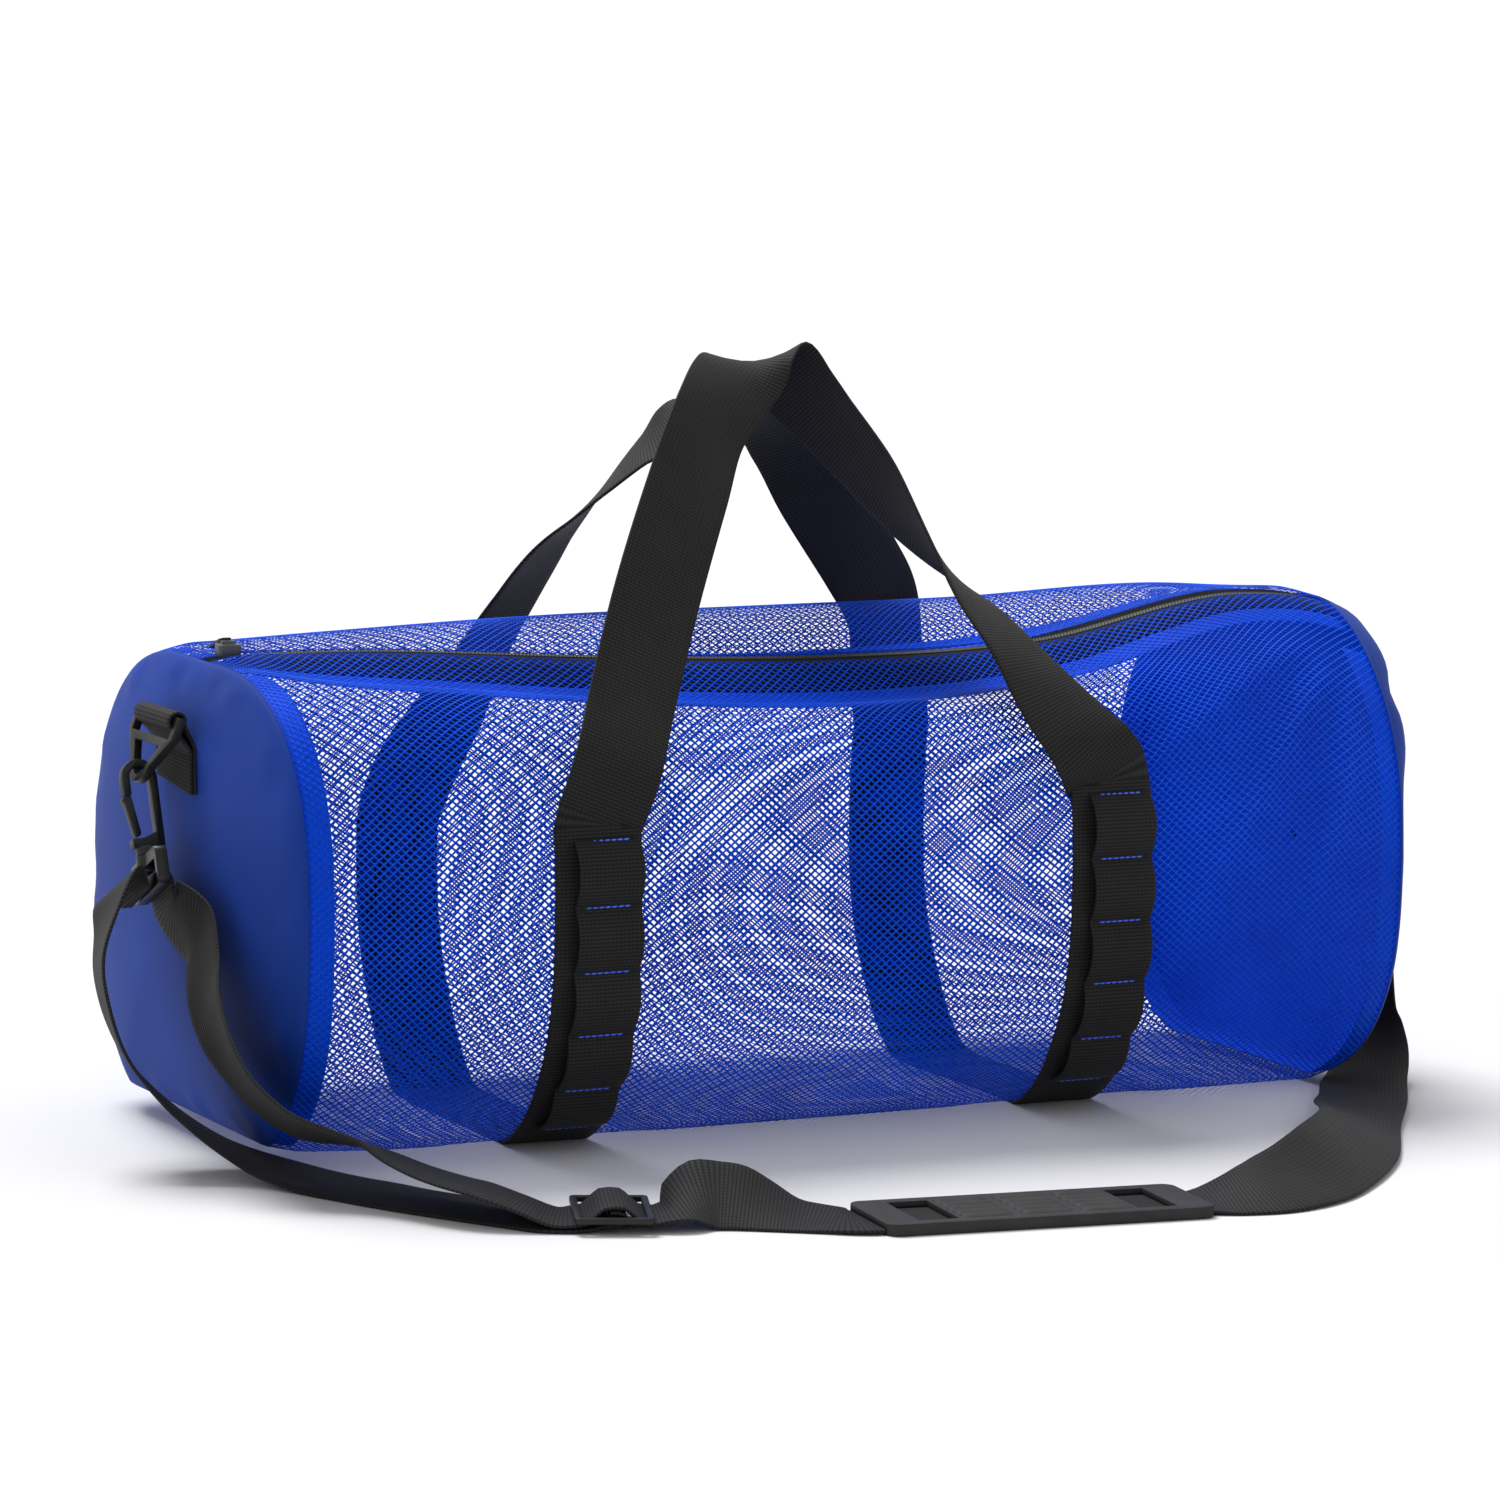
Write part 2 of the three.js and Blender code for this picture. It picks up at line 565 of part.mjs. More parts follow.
// Narrow webbing on a front leg, sewn down at every pitch and standing off in a loop between.
const LOOP_BULGES = [6.6, 6.2, 5.8, 5.4, 5];
function loopStrip(leg, firstLoop, sideways) {
  const x = leg.x + sideways;
  const rows = [];
  const base = 2 * GAP + 0.2 + WEB_THICK + LOOP_WEB_THICK / 2;
  const perLoop = 6;
  let angle = angleAtHeight(x, firstLoop, 1);
  let previous = offSkin(x, angle, base);
  const place = (bulge) => rows.push({ at: offSkin(x, angle, base + bulge), across: v3(1, 0, 0) });
  place(0.4);
  for (const bulge of LOOP_BULGES) {
    for (let k = 1; k <= perLoop; k += 1) {
      let travelled = 0;
      while (travelled < LOOP_PITCH / perLoop) {
        angle += rad(0.05);
        const next = offSkin(x, angle, base);
        travelled += next.distanceTo(previous);
        previous = next;
      }
      place(bulge * Math.sin(Math.PI * k / perLoop) ** 0.8);
    }
  }
  return ribbon(rows, LOOP_WEB_WIDTH, LOOP_WEB_THICK);
}
addPiece('left_loop_strip', loopStrip(LEGS.frontLeft, 174, 4), COLOURS.webbing);
addPiece('right_loop_strip', loopStrip(LEGS.frontRight, 184, 4), COLOURS.webbing);

// End fittings stand in a frame with X out of the end panel, Z up, and its origin on the panel behind
// the ring's bar. The left set is the right set turned half round.
const alongBar = new THREE.Matrix4().makeBasis(v3(0, 1, 0), v3(0, 0, 1), v3(1, 0, 0));

// Ring: a tapered plate with a bar and slot for the tab, and a round-nosed eye for the hook.
function ringGeometry() {
  const { half, bar, slotHalf, slotHeight, midBar, depth, nose, rim, thick } = RING;
  const slotLow = -bar - slotHeight;
  const tapered = (topHalf, top, shoulder, radius) => {
    const shape = new THREE.Shape();
    shape.moveTo(topHalf, shoulder);
    shape.lineTo(topHalf, top);
    shape.lineTo(-topHalf, top);
    shape.lineTo(-topHalf, shoulder);
    shape.absarc(0, nose - depth, radius, rad(195), rad(345), false);
    shape.closePath();
    return shape;
  };
  const eyeTop = slotLow - midBar;
  const body = manifoldOf(plate(tapered(half, bar, slotLow, nose), thick));
  const slot = boxAt(2 * slotHalf, slotHeight, 2 * thick, 0, -bar - slotHeight / 2, 0);
  const eye = manifoldOf(plate(tapered(slotHalf - 9, eyeTop, eyeTop - 1, nose - rim), 2 * thick));
  return geometryOf(body.subtract(slot).subtract(eye)).applyMatrix4(alongBar);
}

// Snap hook, drawn with its arch centred on the origin: spine on the panel side, nose on the outside,
// and below them the block, collar, pin and pin head of the swivel.
const hookPlane = new THREE.Matrix4().makeBasis(v3(1, 0, 0), v3(0, 0, 1), v3(0, -1, 0));

function hookGeometry() {
  const { inside, outside, thick, noseDrop, blockTop, blockBottom, blockHalf, gateHalf, hinge } = HOOK;
  const outline = new THREE.Shape();
  outline.moveTo(-outside, blockBottom);
  outline.lineTo(blockHalf, blockBottom);
  outline.lineTo(blockHalf, hinge.z - gateHalf - 1.4);
  outline.lineTo(hinge.x - gateHalf - 1, blockTop);
  outline.lineTo(-inside, blockTop + 3);
  outline.lineTo(-inside, 0);
  outline.absarc(0, 0, inside, Math.PI, 0, true);
  outline.lineTo(inside, -noseDrop);
  outline.lineTo(outside, -noseDrop);
  outline.lineTo(outside, 0);
  outline.absarc(0, 0, outside, 0, Math.PI, false);
  outline.closePath();
  const body = manifoldOf(plate(outline, thick).applyMatrix4(hookPlane));
  const { collarRadius, collarHeight, pinRadius, pinLength, headRadius, headHeight } = SWIVEL;
  const collar = barAt(collarRadius, collarHeight, 0, 0, blockBottom - collarHeight / 2 + 0.5);
  const pin = barAt(pinRadius, pinLength, 0, 0, blockBottom - collarHeight - pinLength / 2 + 1);
  const pinEnd = blockBottom - collarHeight - pinLength + 1;
  const head = barAt(headRadius, headHeight, 0, 0, pinEnd + headHeight / 2);
  return geometryOf(body.add(collar).add(pin).add(head));
}

// Gate: a tapered lever from its round root up to a lip under the hook's nose. The lip slopes down to
// its outer corner so that it passes under the nose as the gate swings in.
function gateGeometry() {
  const { hinge, gateHalf, noseDrop, inside, outside, gateThick } = HOOK;
  const tipX = (inside + outside) / 2;
  const tipZ = -noseDrop - GAP;
  const lipX = outside + 1.2;
  const lipZ = hinge.z + Math.sqrt((tipZ - hinge.z) ** 2 - (lipX - hinge.x) ** 2);
  const outline = new THREE.Shape();
  outline.absarc(hinge.x, hinge.z, gateHalf, Math.PI, Math.PI * 2, false);
  outline.lineTo(tipX + 2, tipZ - 5);
  outline.lineTo(lipX, lipZ - 1.5);
  outline.lineTo(lipX, lipZ);
  outline.lineTo(tipX - 1.8, tipZ);
  outline.closePath();
  return plate(outline, gateThick).applyMatrix4(hookPlane);
}

// Loop under the hook: a flat frame for the strap with a boss that the swivel pin turns in.
const loopTop = HOOK.blockBottom - SWIVEL.collarHeight + 0.5 - GAP;
const loopBarMiddle = loopTop - HOOK_LOOP.topBar - HOOK_LOOP.slotHeight - HOOK_LOOP.bar / 2;
function hookLoopGeometry() {
  const { width, topBar, slotHeight, bar, slotWidth, thick, bossRadius } = HOOK_LOOP;
  const height = topBar + slotHeight + bar;
  const outline = roundedRectangle(width, height, 4);
  const slotLow = -height / 2 + bar;
  outline.holes.push(slotPath(-slotWidth / 2, slotWidth / 2, slotLow, slotLow + slotHeight));
  const frame = manifoldOf(plate(outline, thick).applyMatrix4(alongBar), moved(0, 0, loopTop - height / 2));
  const boss = barAt(bossRadius, topBar, 0, 0, loopTop - topBar / 2);
  const hole = barAt(SWIVEL.pinRadius + GAP, topBar + 2, 0, 0, loopTop - topBar / 2);
  return geometryOf(frame.add(boss).subtract(hole));
}

function endFittings(side, name) {
  const end = new THREE.Group();
  end.position.copy(panelPoint(side, BAR_SHIFT, BAR_HEIGHT));
  end.rotation.z = side < 0 ? Math.PI : 0;
  bag.add(end);

  // Folded tab: up the panel, round the ring's bar and back down over itself.
  const inner = GAP + TAB_SEAT + WEB_THICK / 2;
  const outer = inner + WEB_THICK + GAP;
  const wrap = Math.hypot(RING.thick / 2, RING.bar) + 0.5 + WEB_THICK / 2;
  const lower = panelPoint(side, BAR_SHIFT, BAR_HEIGHT - TAB_LENGTH);
  const slope = Math.abs(lower.x - end.position.x) / TAB_LENGTH;
  const tab = [];
  const tabRow = (out, up) => {
    const skew = Math.max(-up - 14, 0) / (TAB_LENGTH - 14);
    const turn = -rad(TAB_SKEW.turnDeg) * skew;
    const across = v3(0, Math.cos(turn), Math.sin(turn));
    tab.push({ at: v3(out, TAB_SKEW.shift * skew, up), across, skewed: true });
  };
  for (const down of [TAB_LENGTH, TAB_LENGTH * 0.6, 14]) tabRow(inner + slope * down, -down);
  for (let i = 0; i <= 9; i += 1) {
    const turn = rad(200 - i * 30);
    tabRow(BAR_OUT + wrap * Math.cos(turn), wrap * Math.sin(turn));
  }
  for (const down of [16, TAB_LENGTH * 0.6, TAB_LENGTH]) tabRow(outer + slope * down, -down);
  addPiece(`${name}_end_tab`, ribbon(tab), COLOURS.webbing, 0.8, end);

  const ring = new THREE.Group();
  ring.position.set(BAR_OUT, 0, 0);
  ring.rotation.y = -rad(RING.tiltDeg);
  end.add(ring);
  addPiece(`${name}_end_ring`, ringGeometry(), COLOURS.plastic, 0.45, ring);

  const hook = new THREE.Group();
  const noseMiddle = RING.depth - RING.rim / 2;
  hook.position.set(BAR_OUT + noseMiddle * Math.sin(rad(RING.tiltDeg)), 0,
    -noseMiddle * Math.cos(rad(RING.tiltDeg)) - HOOK_HANG[name]);
  hook.rotation.x = -side * rad(HOOK_LEAN[name]);
  end.add(hook);
  addPiece(`${name}_hook`, hookGeometry(), COLOURS.plastic, 0.45, hook);
  addPiece(`${name}_hook_gate`, gateGeometry(), COLOURS.plastic, 0.45, hook);

  const swivel = new THREE.Group();
  swivel.rotation.z = rad(HOOK_SWIVEL[name]);
  hook.add(swivel);
  addPiece(`${name}_hook_loop`, hookLoopGeometry(), COLOURS.plastic, 0.45, swivel);
  end.updateMatrixWorld(true);
  return swivel;
}
const leftHook = endFittings(-1, 'left');
const rightHook = endFittings(1, 'right');

// Shoulder strap. A row in a hook's frame is out of the end and up from the hook's arch.
const hookRow = (hook, turn, out, up) => ({
  at: hook.localToWorld(v3(out, 0, up)),
  across: v3(0, turn, 0).transformDirection(hook.matrixWorld),
  skewed: true,
});
const wrapRadius = Math.hypot(HOOK_LOOP.thick, HOOK_LOOP.bar) / 2 + 0.5 + WEB_THICK / 2;
const wrapRow = (hook, turn, degrees) => hookRow(hook, turn,
  wrapRadius * Math.cos(rad(degrees)), loopBarMiddle + wrapRadius * Math.sin(rad(degrees)));
const WRAP_DEGREES = { left: [175, 140, 105, 70, 40], right: [180, 145, 110, 70, 35, 0] };

// Rows lying along the floor in a turned frame: how far along and how high.
const floorFrame = (place) => {
  const ahead = v3(Math.cos(rad(place.turnDeg)), Math.sin(rad(place.turnDeg)), 0);
  const across = v3(-ahead.y, ahead.x, 0);
  return (along, height) => ({
    at: v3(place.x, place.y, height).addScaledVector(ahead, along),
    across: across.clone(),
  });
};
const sliderRow = floorFrame(STRAP_SLIDER_AT);
const padRow = floorFrame(PAD_AT);

const RIGHT_RISE = [
  { at: [381, -46, 80], across: [-0.13, 0.99, -0.09] },
  { at: [377, -52, 55], across: [-0.15, 0.98, -0.1] },
  { at: [372, -62, 30], across: [-0.2, 0.97, -0.12] },
  { at: [360, -85, 12], across: [-0.35, 0.93, -0.15] },
  { at: [339, -114, 6], across: [-0.5, 0.85, -0.08] },
  { at: [309, -160, 6], across: [-0.56, 0.83, 0.02] },
  { at: [268, -218, 10], across: [-0.58, 0.78, 0.22] },
  { at: [221, -292, 15], across: [-0.5, 0.72, 0.48] },
  { at: [174, -342, 16], across: [-0.38, 0.72, 0.56] },
  { at: [146, -361, 13], across: [-0.3, 0.8, 0.45] },
  { at: [115, -370, 9], across: [-0.14, 0.93, 0.3] },
  { at: [97, -366, 5], across: [-0.02, 0.98, 0.12] },
];
const STRAP_HUMP = [
  { at: [-132, -318, 4], across: [0.3, 0.9, 0.15] },
  { at: [-156, -306, 10], across: [0.25, 0.8, 0.5] },
  { at: [-176, -299, 15], across: [0.25, 0.8, 0.5] },
  { at: [-188, -297, 11], across: [0.3, 0.88, 0.25] },
];
const RUN_TO_HOOK = [
  { at: [-274, -254, 15], across: [0.5, 0.86, -0.05] },
  { at: [-289, -228, 19], across: [0.5, 0.86, -0.08] },
  { at: [-299, -208, 23], across: [0.48, 0.87, -0.1] },
  { at: [-311, -192, 30], across: [0.44, 0.88, -0.2] },
  { at: [-323, -180, 33], across: [0.42, 0.86, -0.29] },
  { at: [-342, -166, 38], across: [0.33, 0.87, -0.37] },
  { at: [-356, -150, 50], across: [0.25, 0.89, -0.37] },
  { at: [-364, -130, 68], across: [0.2, 0.92, -0.32] },
  { at: [-366, -110, 85], across: [0.1, 0.95, -0.3] },
  { at: [-363, -92, 103], across: [0.03, 0.96, -0.27] },
  { at: [-359, -74, 121], across: [0.02, 0.95, -0.3] },
];
const RUN_FROM_HOOK = [
  { at: [-388, -34, 146], across: [0, 0.9, -0.44] },
  { at: [-399, -44, 127], across: [0.1, 0.9, -0.4] },
  { at: [-405, -50, 106], across: [0.25, 0.92, -0.3] },
  { at: [-403, -58, 82], across: [0.3, 0.92, -0.25] },
  { at: [-395, -68, 58], across: [0.4, 0.85, -0.3] },
  { at: [-380, -80, 38], across: [0.6, 0.7, -0.4] },
  { at: [-357, -96, 18], across: [0.8, 0.45, -0.35] },
  { at: [-333, -118, 6], across: [0.93, 0.35, -0.12] },
  { at: [-312, -154, 1.3], across: [0.93, 0.36, 0] },
  { at: [-287, -206, 1.3], across: [0.88, 0.47, 0] },
  { at: [-262, -248, 1.3], across: [0.75, 0.65, 0] },
];

// Through the slider: over its centre bar on the way out, and round that bar at the sewn end.
const OVER_BAR = [
  { along: 27, up: 6 }, { along: 18, up: 4.3 }, { along: 14.5, up: 5.2 }, { along: 10, up: 9 },
  { along: 5, up: 13 }, { along: 0, up: 13.4 }, { along: -5, up: 12.8 }, { along: -10, up: 8.4 },
  { along: -14, up: 4.9 }, { along: -18, up: 4.3 }, { along: -28, up: 3.6 },
];
const ROUND_BAR = [
  { along: -28, up: 1.2 }, { along: -18, up: 1.4 }, { along: -10, up: 2.4 }, { along: -3, up: 4.2 },
  { along: 1.5, up: 4.3 }, { along: 5, up: 5.2 }, { along: 6, up: 7.5 }, { along: 5, up: 9.8 },
  { along: 1.5, up: 10.7 }, { along: -2, up: 10.6 },
];

function shoulderStrap() {
  const asTable = (row) => ({ at: row.at.toArray(), across: row.across.toArray() });
  const bar = loopBarMiddle;
  const rightEnd = [
    hookRow(rightHook, 1, -3.4, bar - 32), hookRow(rightHook, 1, -3.4, bar - 19),
    hookRow(rightHook, 1, -5.2, bar - 8),
    ...WRAP_DEGREES.right.map((d) => wrapRow(rightHook, 1, d)),
    hookRow(rightHook, 1, 5.2, bar - 8), hookRow(rightHook, 1, -0.4, bar - 19),
    hookRow(rightHook, 1, -0.6, bar - 32),
  ];
  const strapLevel = PAD_TUNNEL.floor + PAD_TUNNEL.height / 2;
  const padHalf = PAD.length / 2;
  const throughPad = [padRow(padHalf + 4, strapLevel), padRow(-padHalf - 4, strapLevel)];
  const overBar = OVER_BAR.map((r) => sliderRow(r.along, r.up));
  const leftWrap = [
    hookRow(leftHook, -1, -6.2, bar - 9),
    ...WRAP_DEGREES.left.map((d) => wrapRow(leftHook, -1, d)),
    hookRow(leftHook, -1, 7, bar - 3),
  ];
  const roundBar = ROUND_BAR.map((r) => sliderRow(r.along, r.up));
  const between = (first, rows, last, spacing) => smooth([asTable(first), ...rows, asTable(last)], spacing)
    .slice(1, -1);
  const tail = (rows) => rows[rows.length - 1];
  const clearOfFloor = ({ at, across, skewed }) => {
    const lowest = Math.abs(across.z) * WEB_WIDTH / 2 + WEB_THICK / 2 + 0.1;
    return { at: v3(at.x, at.y, Math.max(at.z, lowest)), across, skewed };
  };
  const rows = [
    ...rightEnd,
    ...between(tail(rightEnd), RIGHT_RISE, throughPad[0], 20),
    ...throughPad,
    ...between(throughPad[1], STRAP_HUMP, overBar[0], 12),
    ...overBar,
    ...between(tail(overBar), RUN_TO_HOOK, leftWrap[0], 18),
    ...leftWrap,
    ...between(tail(leftWrap), RUN_FROM_HOOK, roundBar[0], 20),
    ...roundBar,
  ];
  return ribbon(squared(rows).map(clearOfFloor));
}
addPiece('shoulder_strap', shoulderStrap(), COLOURS.webbing);

// Three-bar slider lying on the strap.
function strapSlider() {
  const { length, width, thick, slot, centreBar, slotWidth, height } = STRAP_SLIDER;
  let frame = manifoldOf(plate(roundedRectangle(length, width, 3), thick));
  for (const side of [-1, 1]) {
    const middle = side * (centreBar + slot) / 2;
    frame = frame.subtract(boxAt(slot, slotWidth, 2 * thick, middle, 0, 0));
  }
  const slider = addPiece('strap_slider', geometryOf(frame), COLOURS.plastic, 0.45);
  slider.position.set(STRAP_SLIDER_AT.x, STRAP_SLIDER_AT.y, height);
  slider.rotation.z = rad(STRAP_SLIDER_AT.turnDeg);
}
strapSlider();

// Shoulder pad: a moulded slab with a tunnel for the strap and two windows down to it.
function shoulderPad() {
  const { length, width, thick, corner, slotLength, slotWidth, slotAt } = PAD;
  const { floor, height } = PAD_TUNNEL;
  let solid = manifoldOf(plate(roundedRectangle(length, width, corner), thick), moved(0, 0, thick / 2));
  solid = solid.subtract(boxAt(length + 10, PAD_TUNNEL.width, height, 0, 0, floor + height / 2));
  const windowLow = floor + height / 2;
  for (const side of [-1, 1]) {
    const depth = thick - windowLow + 1;
    solid = solid.subtract(boxAt(slotLength, slotWidth, depth, side * slotAt, 0, windowLow + depth / 2));
  }
  const pad = addPiece('shoulder_pad', geometryOf(solid), COLOURS.pad, 0.7);
  pad.position.set(PAD_AT.x, PAD_AT.y, 0);
  pad.rotation.z = rad(PAD_AT.turnDeg);
}
shoulderPad();

export default bag;
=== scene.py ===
# Blue mesh duffel bag lying on a pale floor. Sizes are millimetres until a mesh is made from them.
import math

import bmesh
import bpy
import numpy as np
from mathutils import Matrix, Vector


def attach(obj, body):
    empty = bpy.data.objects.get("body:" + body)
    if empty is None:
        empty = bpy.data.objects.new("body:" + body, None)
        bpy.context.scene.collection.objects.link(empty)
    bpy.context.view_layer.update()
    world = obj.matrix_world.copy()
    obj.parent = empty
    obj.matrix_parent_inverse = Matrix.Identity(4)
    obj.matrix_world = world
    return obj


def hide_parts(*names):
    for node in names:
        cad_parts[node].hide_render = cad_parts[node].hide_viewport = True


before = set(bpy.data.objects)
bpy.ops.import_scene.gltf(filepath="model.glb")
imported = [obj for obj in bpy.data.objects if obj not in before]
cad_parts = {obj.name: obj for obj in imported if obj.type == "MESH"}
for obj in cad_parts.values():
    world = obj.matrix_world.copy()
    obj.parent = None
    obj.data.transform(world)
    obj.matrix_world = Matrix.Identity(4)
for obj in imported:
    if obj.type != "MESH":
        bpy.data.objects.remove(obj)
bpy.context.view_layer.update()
scene = bpy.context.scene
print("frame loaded,", len(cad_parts), "solids")


# small array tools

def unit(v):
    return v / np.linalg.norm(v, axis=-1, keepdims=True)


def smoothstep(x, low, high):
    t = np.clip((x - low) / (high - low), 0, 1)
    return t * t * (3 - 2 * t)


def bell(x, middle, width):
    return np.exp(-(((x - middle) / width) ** 2))


def cubic(t, first, firstSlope, second, secondSlope):
    # from the first value to the second, leaving and arriving with these slopes
    return (first * (2 * t**3 - 3 * t**2 + 1) + firstSlope * (t**3 - 2 * t**2 + t)
            + second * (3 * t**2 - 2 * t**3) + secondSlope * (t**3 - t**2))


def lengthsAlong(points, axis=0):
    # distance from the first points, added up along one axis of the grid
    steps = np.diff(points, axis=axis, prepend=np.take(points, [0], axis))
    return np.cumsum(np.linalg.norm(steps, axis=-1), axis)


def turned(axis, degrees):
    return np.array(Matrix.Rotation(math.radians(degrees), 4, axis))


def shifted(x, y, z):
    return np.array(Matrix.Translation((x, y, z)))


def place(matrix, points):
    return np.asarray(points, float) @ matrix[:3, :3].T + matrix[:3, 3]


def paint(red, green, blue):
    # screen colour, 0 to 255, to the linear colour that a shader takes
    screen = np.array([red, green, blue]) / 255
    linear = np.where(screen <= 0.04045, screen / 12.92, ((screen + 0.055) / 1.055) ** 2.4)
    return (*[float(c) for c in linear], 1.0)


# meshes from arrays: points in mm, faces as arrays with the same number of corners, uv in mm

def meshFrom(name, points, faces, uv=None):
    mesh = bpy.data.meshes.new(name)
    counts = np.concatenate([np.full(len(f), f.shape[1]) for f in faces])
    corners = np.concatenate([np.asarray(f).ravel() for f in faces]).astype(np.int32)
    mesh.vertices.add(len(points))
    mesh.vertices.foreach_set("co", (np.asarray(points) * 0.001).astype(np.float32).ravel())
    mesh.loops.add(len(corners))
    mesh.loops.foreach_set("vertex_index", corners)
    mesh.polygons.add(len(counts))
    mesh.polygons.foreach_set("loop_start", (np.cumsum(counts) - counts).astype(np.int32))
    mesh.polygons.foreach_set("use_smooth", np.ones(len(counts), bool))
    if uv is not None:
        layer = mesh.uv_layers.new(name="lay")
        layer.data.foreach_set("uv", (np.asarray(uv) * 0.001)[corners].astype(np.float32).ravel())
    mesh.update(calc_edges=True)
    return mesh


def gridFaces(rows, columns, around=False):
    # quads of a grid whose points are numbered row by row; around joins the last column to the first
    i, j = np.meshgrid(np.arange(rows - 1), np.arange(columns if around else columns - 1), indexing="ij")
    a, b = i * columns + j, i * columns + (j + 1) % columns
    return np.stack([a, a + columns, b + columns, b], -1).reshape(-1, 4)


def tubeFaces(rows, columns):
    # wall of a tube and a cap on each end
    caps = np.stack([np.arange(columns), np.arange(columns)[::-1] + (rows - 1) * columns])
    return [gridFaces(rows, columns, True), caps]


def slab(name, top, bottom):
    # two grids of points as a sheet with two faces and closed edges; uv runs along the rows and across
    rows, columns = top.shape[:2]
    half = rows * columns
    upper = gridFaces(rows, columns)
    faces = [upper, upper[:, ::-1] + half]
    ids = np.arange(half).reshape(rows, columns)
    for line in (ids[::-1, 0], ids[:, -1], ids[0], ids[-1, ::-1]):
        a, b = line[:-1], line[1:]
        faces.append(np.stack([a, b, b + half, a + half], -1))
    uv = np.stack([lengthsAlong(top), lengthsAlong(top, 1)], -1).reshape(-1, 2)
    points = np.concatenate([top.reshape(-1, 3), bottom.reshape(-1, 3)])
    return meshFrom(name, points, outwardFaces(points, faces), np.concatenate([uv, uv]))


def outwardFaces(points, faces):
    # turns every face round if the closed surface's volume comes out negative
    volume = 0.0
    for f in faces:
        p = points[f]
        for k in range(1, f.shape[1] - 1):
            volume += np.einsum("ij,ij->", p[:, 0], np.cross(p[:, k], p[:, k + 1]))
    return faces if volume > 0 else [f[:, ::-1] for f in faces]


def linked(name, data):
    made = bpy.data.objects.new(name, data)
    scene.collection.objects.link(made)
    return made


def addPiece(name, mesh, finish, nodes=(), body="root"):
    piece = linked(name, mesh)
    mesh.materials.clear()
    mesh.materials.append(finishes[finish])
    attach(piece, body)
    if nodes:
        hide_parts(*nodes)
    return piece


# finishes

def startFinish(name):
    material = bpy.data.materials.new(name)
    material.use_nodes = True
    tree = material.node_tree
    return material, tree, tree.nodes["Principled BSDF"]


def settle(tree, node, values):
    # a constant goes on the node's own socket, and another node's output is linked to it
    for key, value in values.items():
        if isinstance(value, bpy.types.NodeSocket):
            tree.links.new(value, node.inputs[key])
        else:
            node.inputs[key].default_value = value


def put(tree, kind, values, **settings):
    made = tree.nodes.new(kind)
    for key, value in settings.items():
        setattr(made, key, value)
    settle(tree, made, values)
    return made.outputs


def bands(tree, coordinates, direction, period):
    # sine stripes with that period in mm; the wave texture turns 20 radians per unit of its scale
    values = {"Vector": coordinates, "Scale": 2 * math.pi / 20 / (period * 0.001)}
    return put(tree, "ShaderNodeTexWave", values, wave_type="BANDS", bands_direction=direction,
               wave_profile="SIN")["Fac"]


def mixed(tree, share, first, second):
    # colour between two colours
    return put(tree, "ShaderNodeMix", {0: share, 6: first, 7: second}, data_type="RGBA")[2]


def tint(tree, share, look):
    # colour between a look's deep and bright colours
    return mixed(tree, share, paint(*look["deep"]), paint(*look["bright"]))


def calc(tree, operation, first, second):
    return put(tree, "ShaderNodeMath", {0: first, 1: second}, operation=operation)[0]


def spread(tree, value, low, high):
    return put(tree, "ShaderNodeMapRange", {"Value": value, "To Min": low, "To Max": high})["Result"]


def cloud(tree, coordinates, size, detail=3.0):
    # soft noise with blotches of about that size in mm
    values = {"Vector": coordinates, "Scale": 1 / (size * 0.001), "Detail": detail}
    return put(tree, "ShaderNodeTexNoise", values)["Fac"]


def emboss(tree, height, strength, distance):
    values = {"Height": height, "Strength": strength, "Distance": distance * 0.001}
    return put(tree, "ShaderNodeBump", values)["Normal"]


def objectSpace(tree):
    return put(tree, "ShaderNodeTexCoord", {})["Object"]


def layOf(tree):
    return put(tree, "ShaderNodeUVMap", {}, uv_map="lay")["UV"]


netLook = {"deep": (0, 64, 194), "bright": (0, 84, 232), "blotch": 60, "grain": 1.2}


def netFinish():
    material, tree, shader = startFinish("coatedNet")
    where = objectSpace(tree)
    shade = spread(tree, cloud(tree, where, netLook["blotch"]), -0.6, 1.6)
    grain = cloud(tree, where, netLook["grain"], 2.0)
    settle(tree, shader, {
        "Base Color": tint(tree, shade, netLook), "Roughness": spread(tree, grain, 0.34, 0.52),
        "Normal": emboss(tree, grain, 0.25, 0.15), "Specular IOR Level": 0.09,
    })
    return material


# inside is the flat brighter blue painted on the panel's inner face: painted light on that face
panelLook = {"deep": (8, 44, 122), "bright": (18, 58, 150), "inside": (0, 74, 236), "thread": 0.55,
             "blotch": 90}


def panelFinish():
    # plain weave: threads up and threads across, one over the other in turn
    material, tree, shader = startFinish("panelCloth")
    where = objectSpace(tree)
    weave = calc(tree, "MULTIPLY", *(bands(tree, where, way, panelLook["thread"]) for way in "YZ"))
    blotch = cloud(tree, where, panelLook["blotch"])
    shade = spread(tree, calc(tree, "ADD", calc(tree, "MULTIPLY", weave, 0.35), blotch), -0.3, 1.1)
    # on the inner face the weave's colour gives way to a flat brighter blue, painted light
    inside = put(tree, "ShaderNodeAttribute", {}, attribute_name="inside")["Fac"]
    settle(tree, shader, {
        "Base Color": mixed(tree, inside, tint(tree, shade, panelLook), paint(*panelLook["inside"])),
        "Roughness": spread(tree, weave, 0.62, 0.78), "Normal": emboss(tree, weave, 0.3, 0.12),
        "Sheen Weight": 0.03, "Specular IOR Level": 0.12,
    })
    return material


tapeLook = {"deep": (0, 72, 232), "bright": (10, 92, 255), "rib": 1.1}


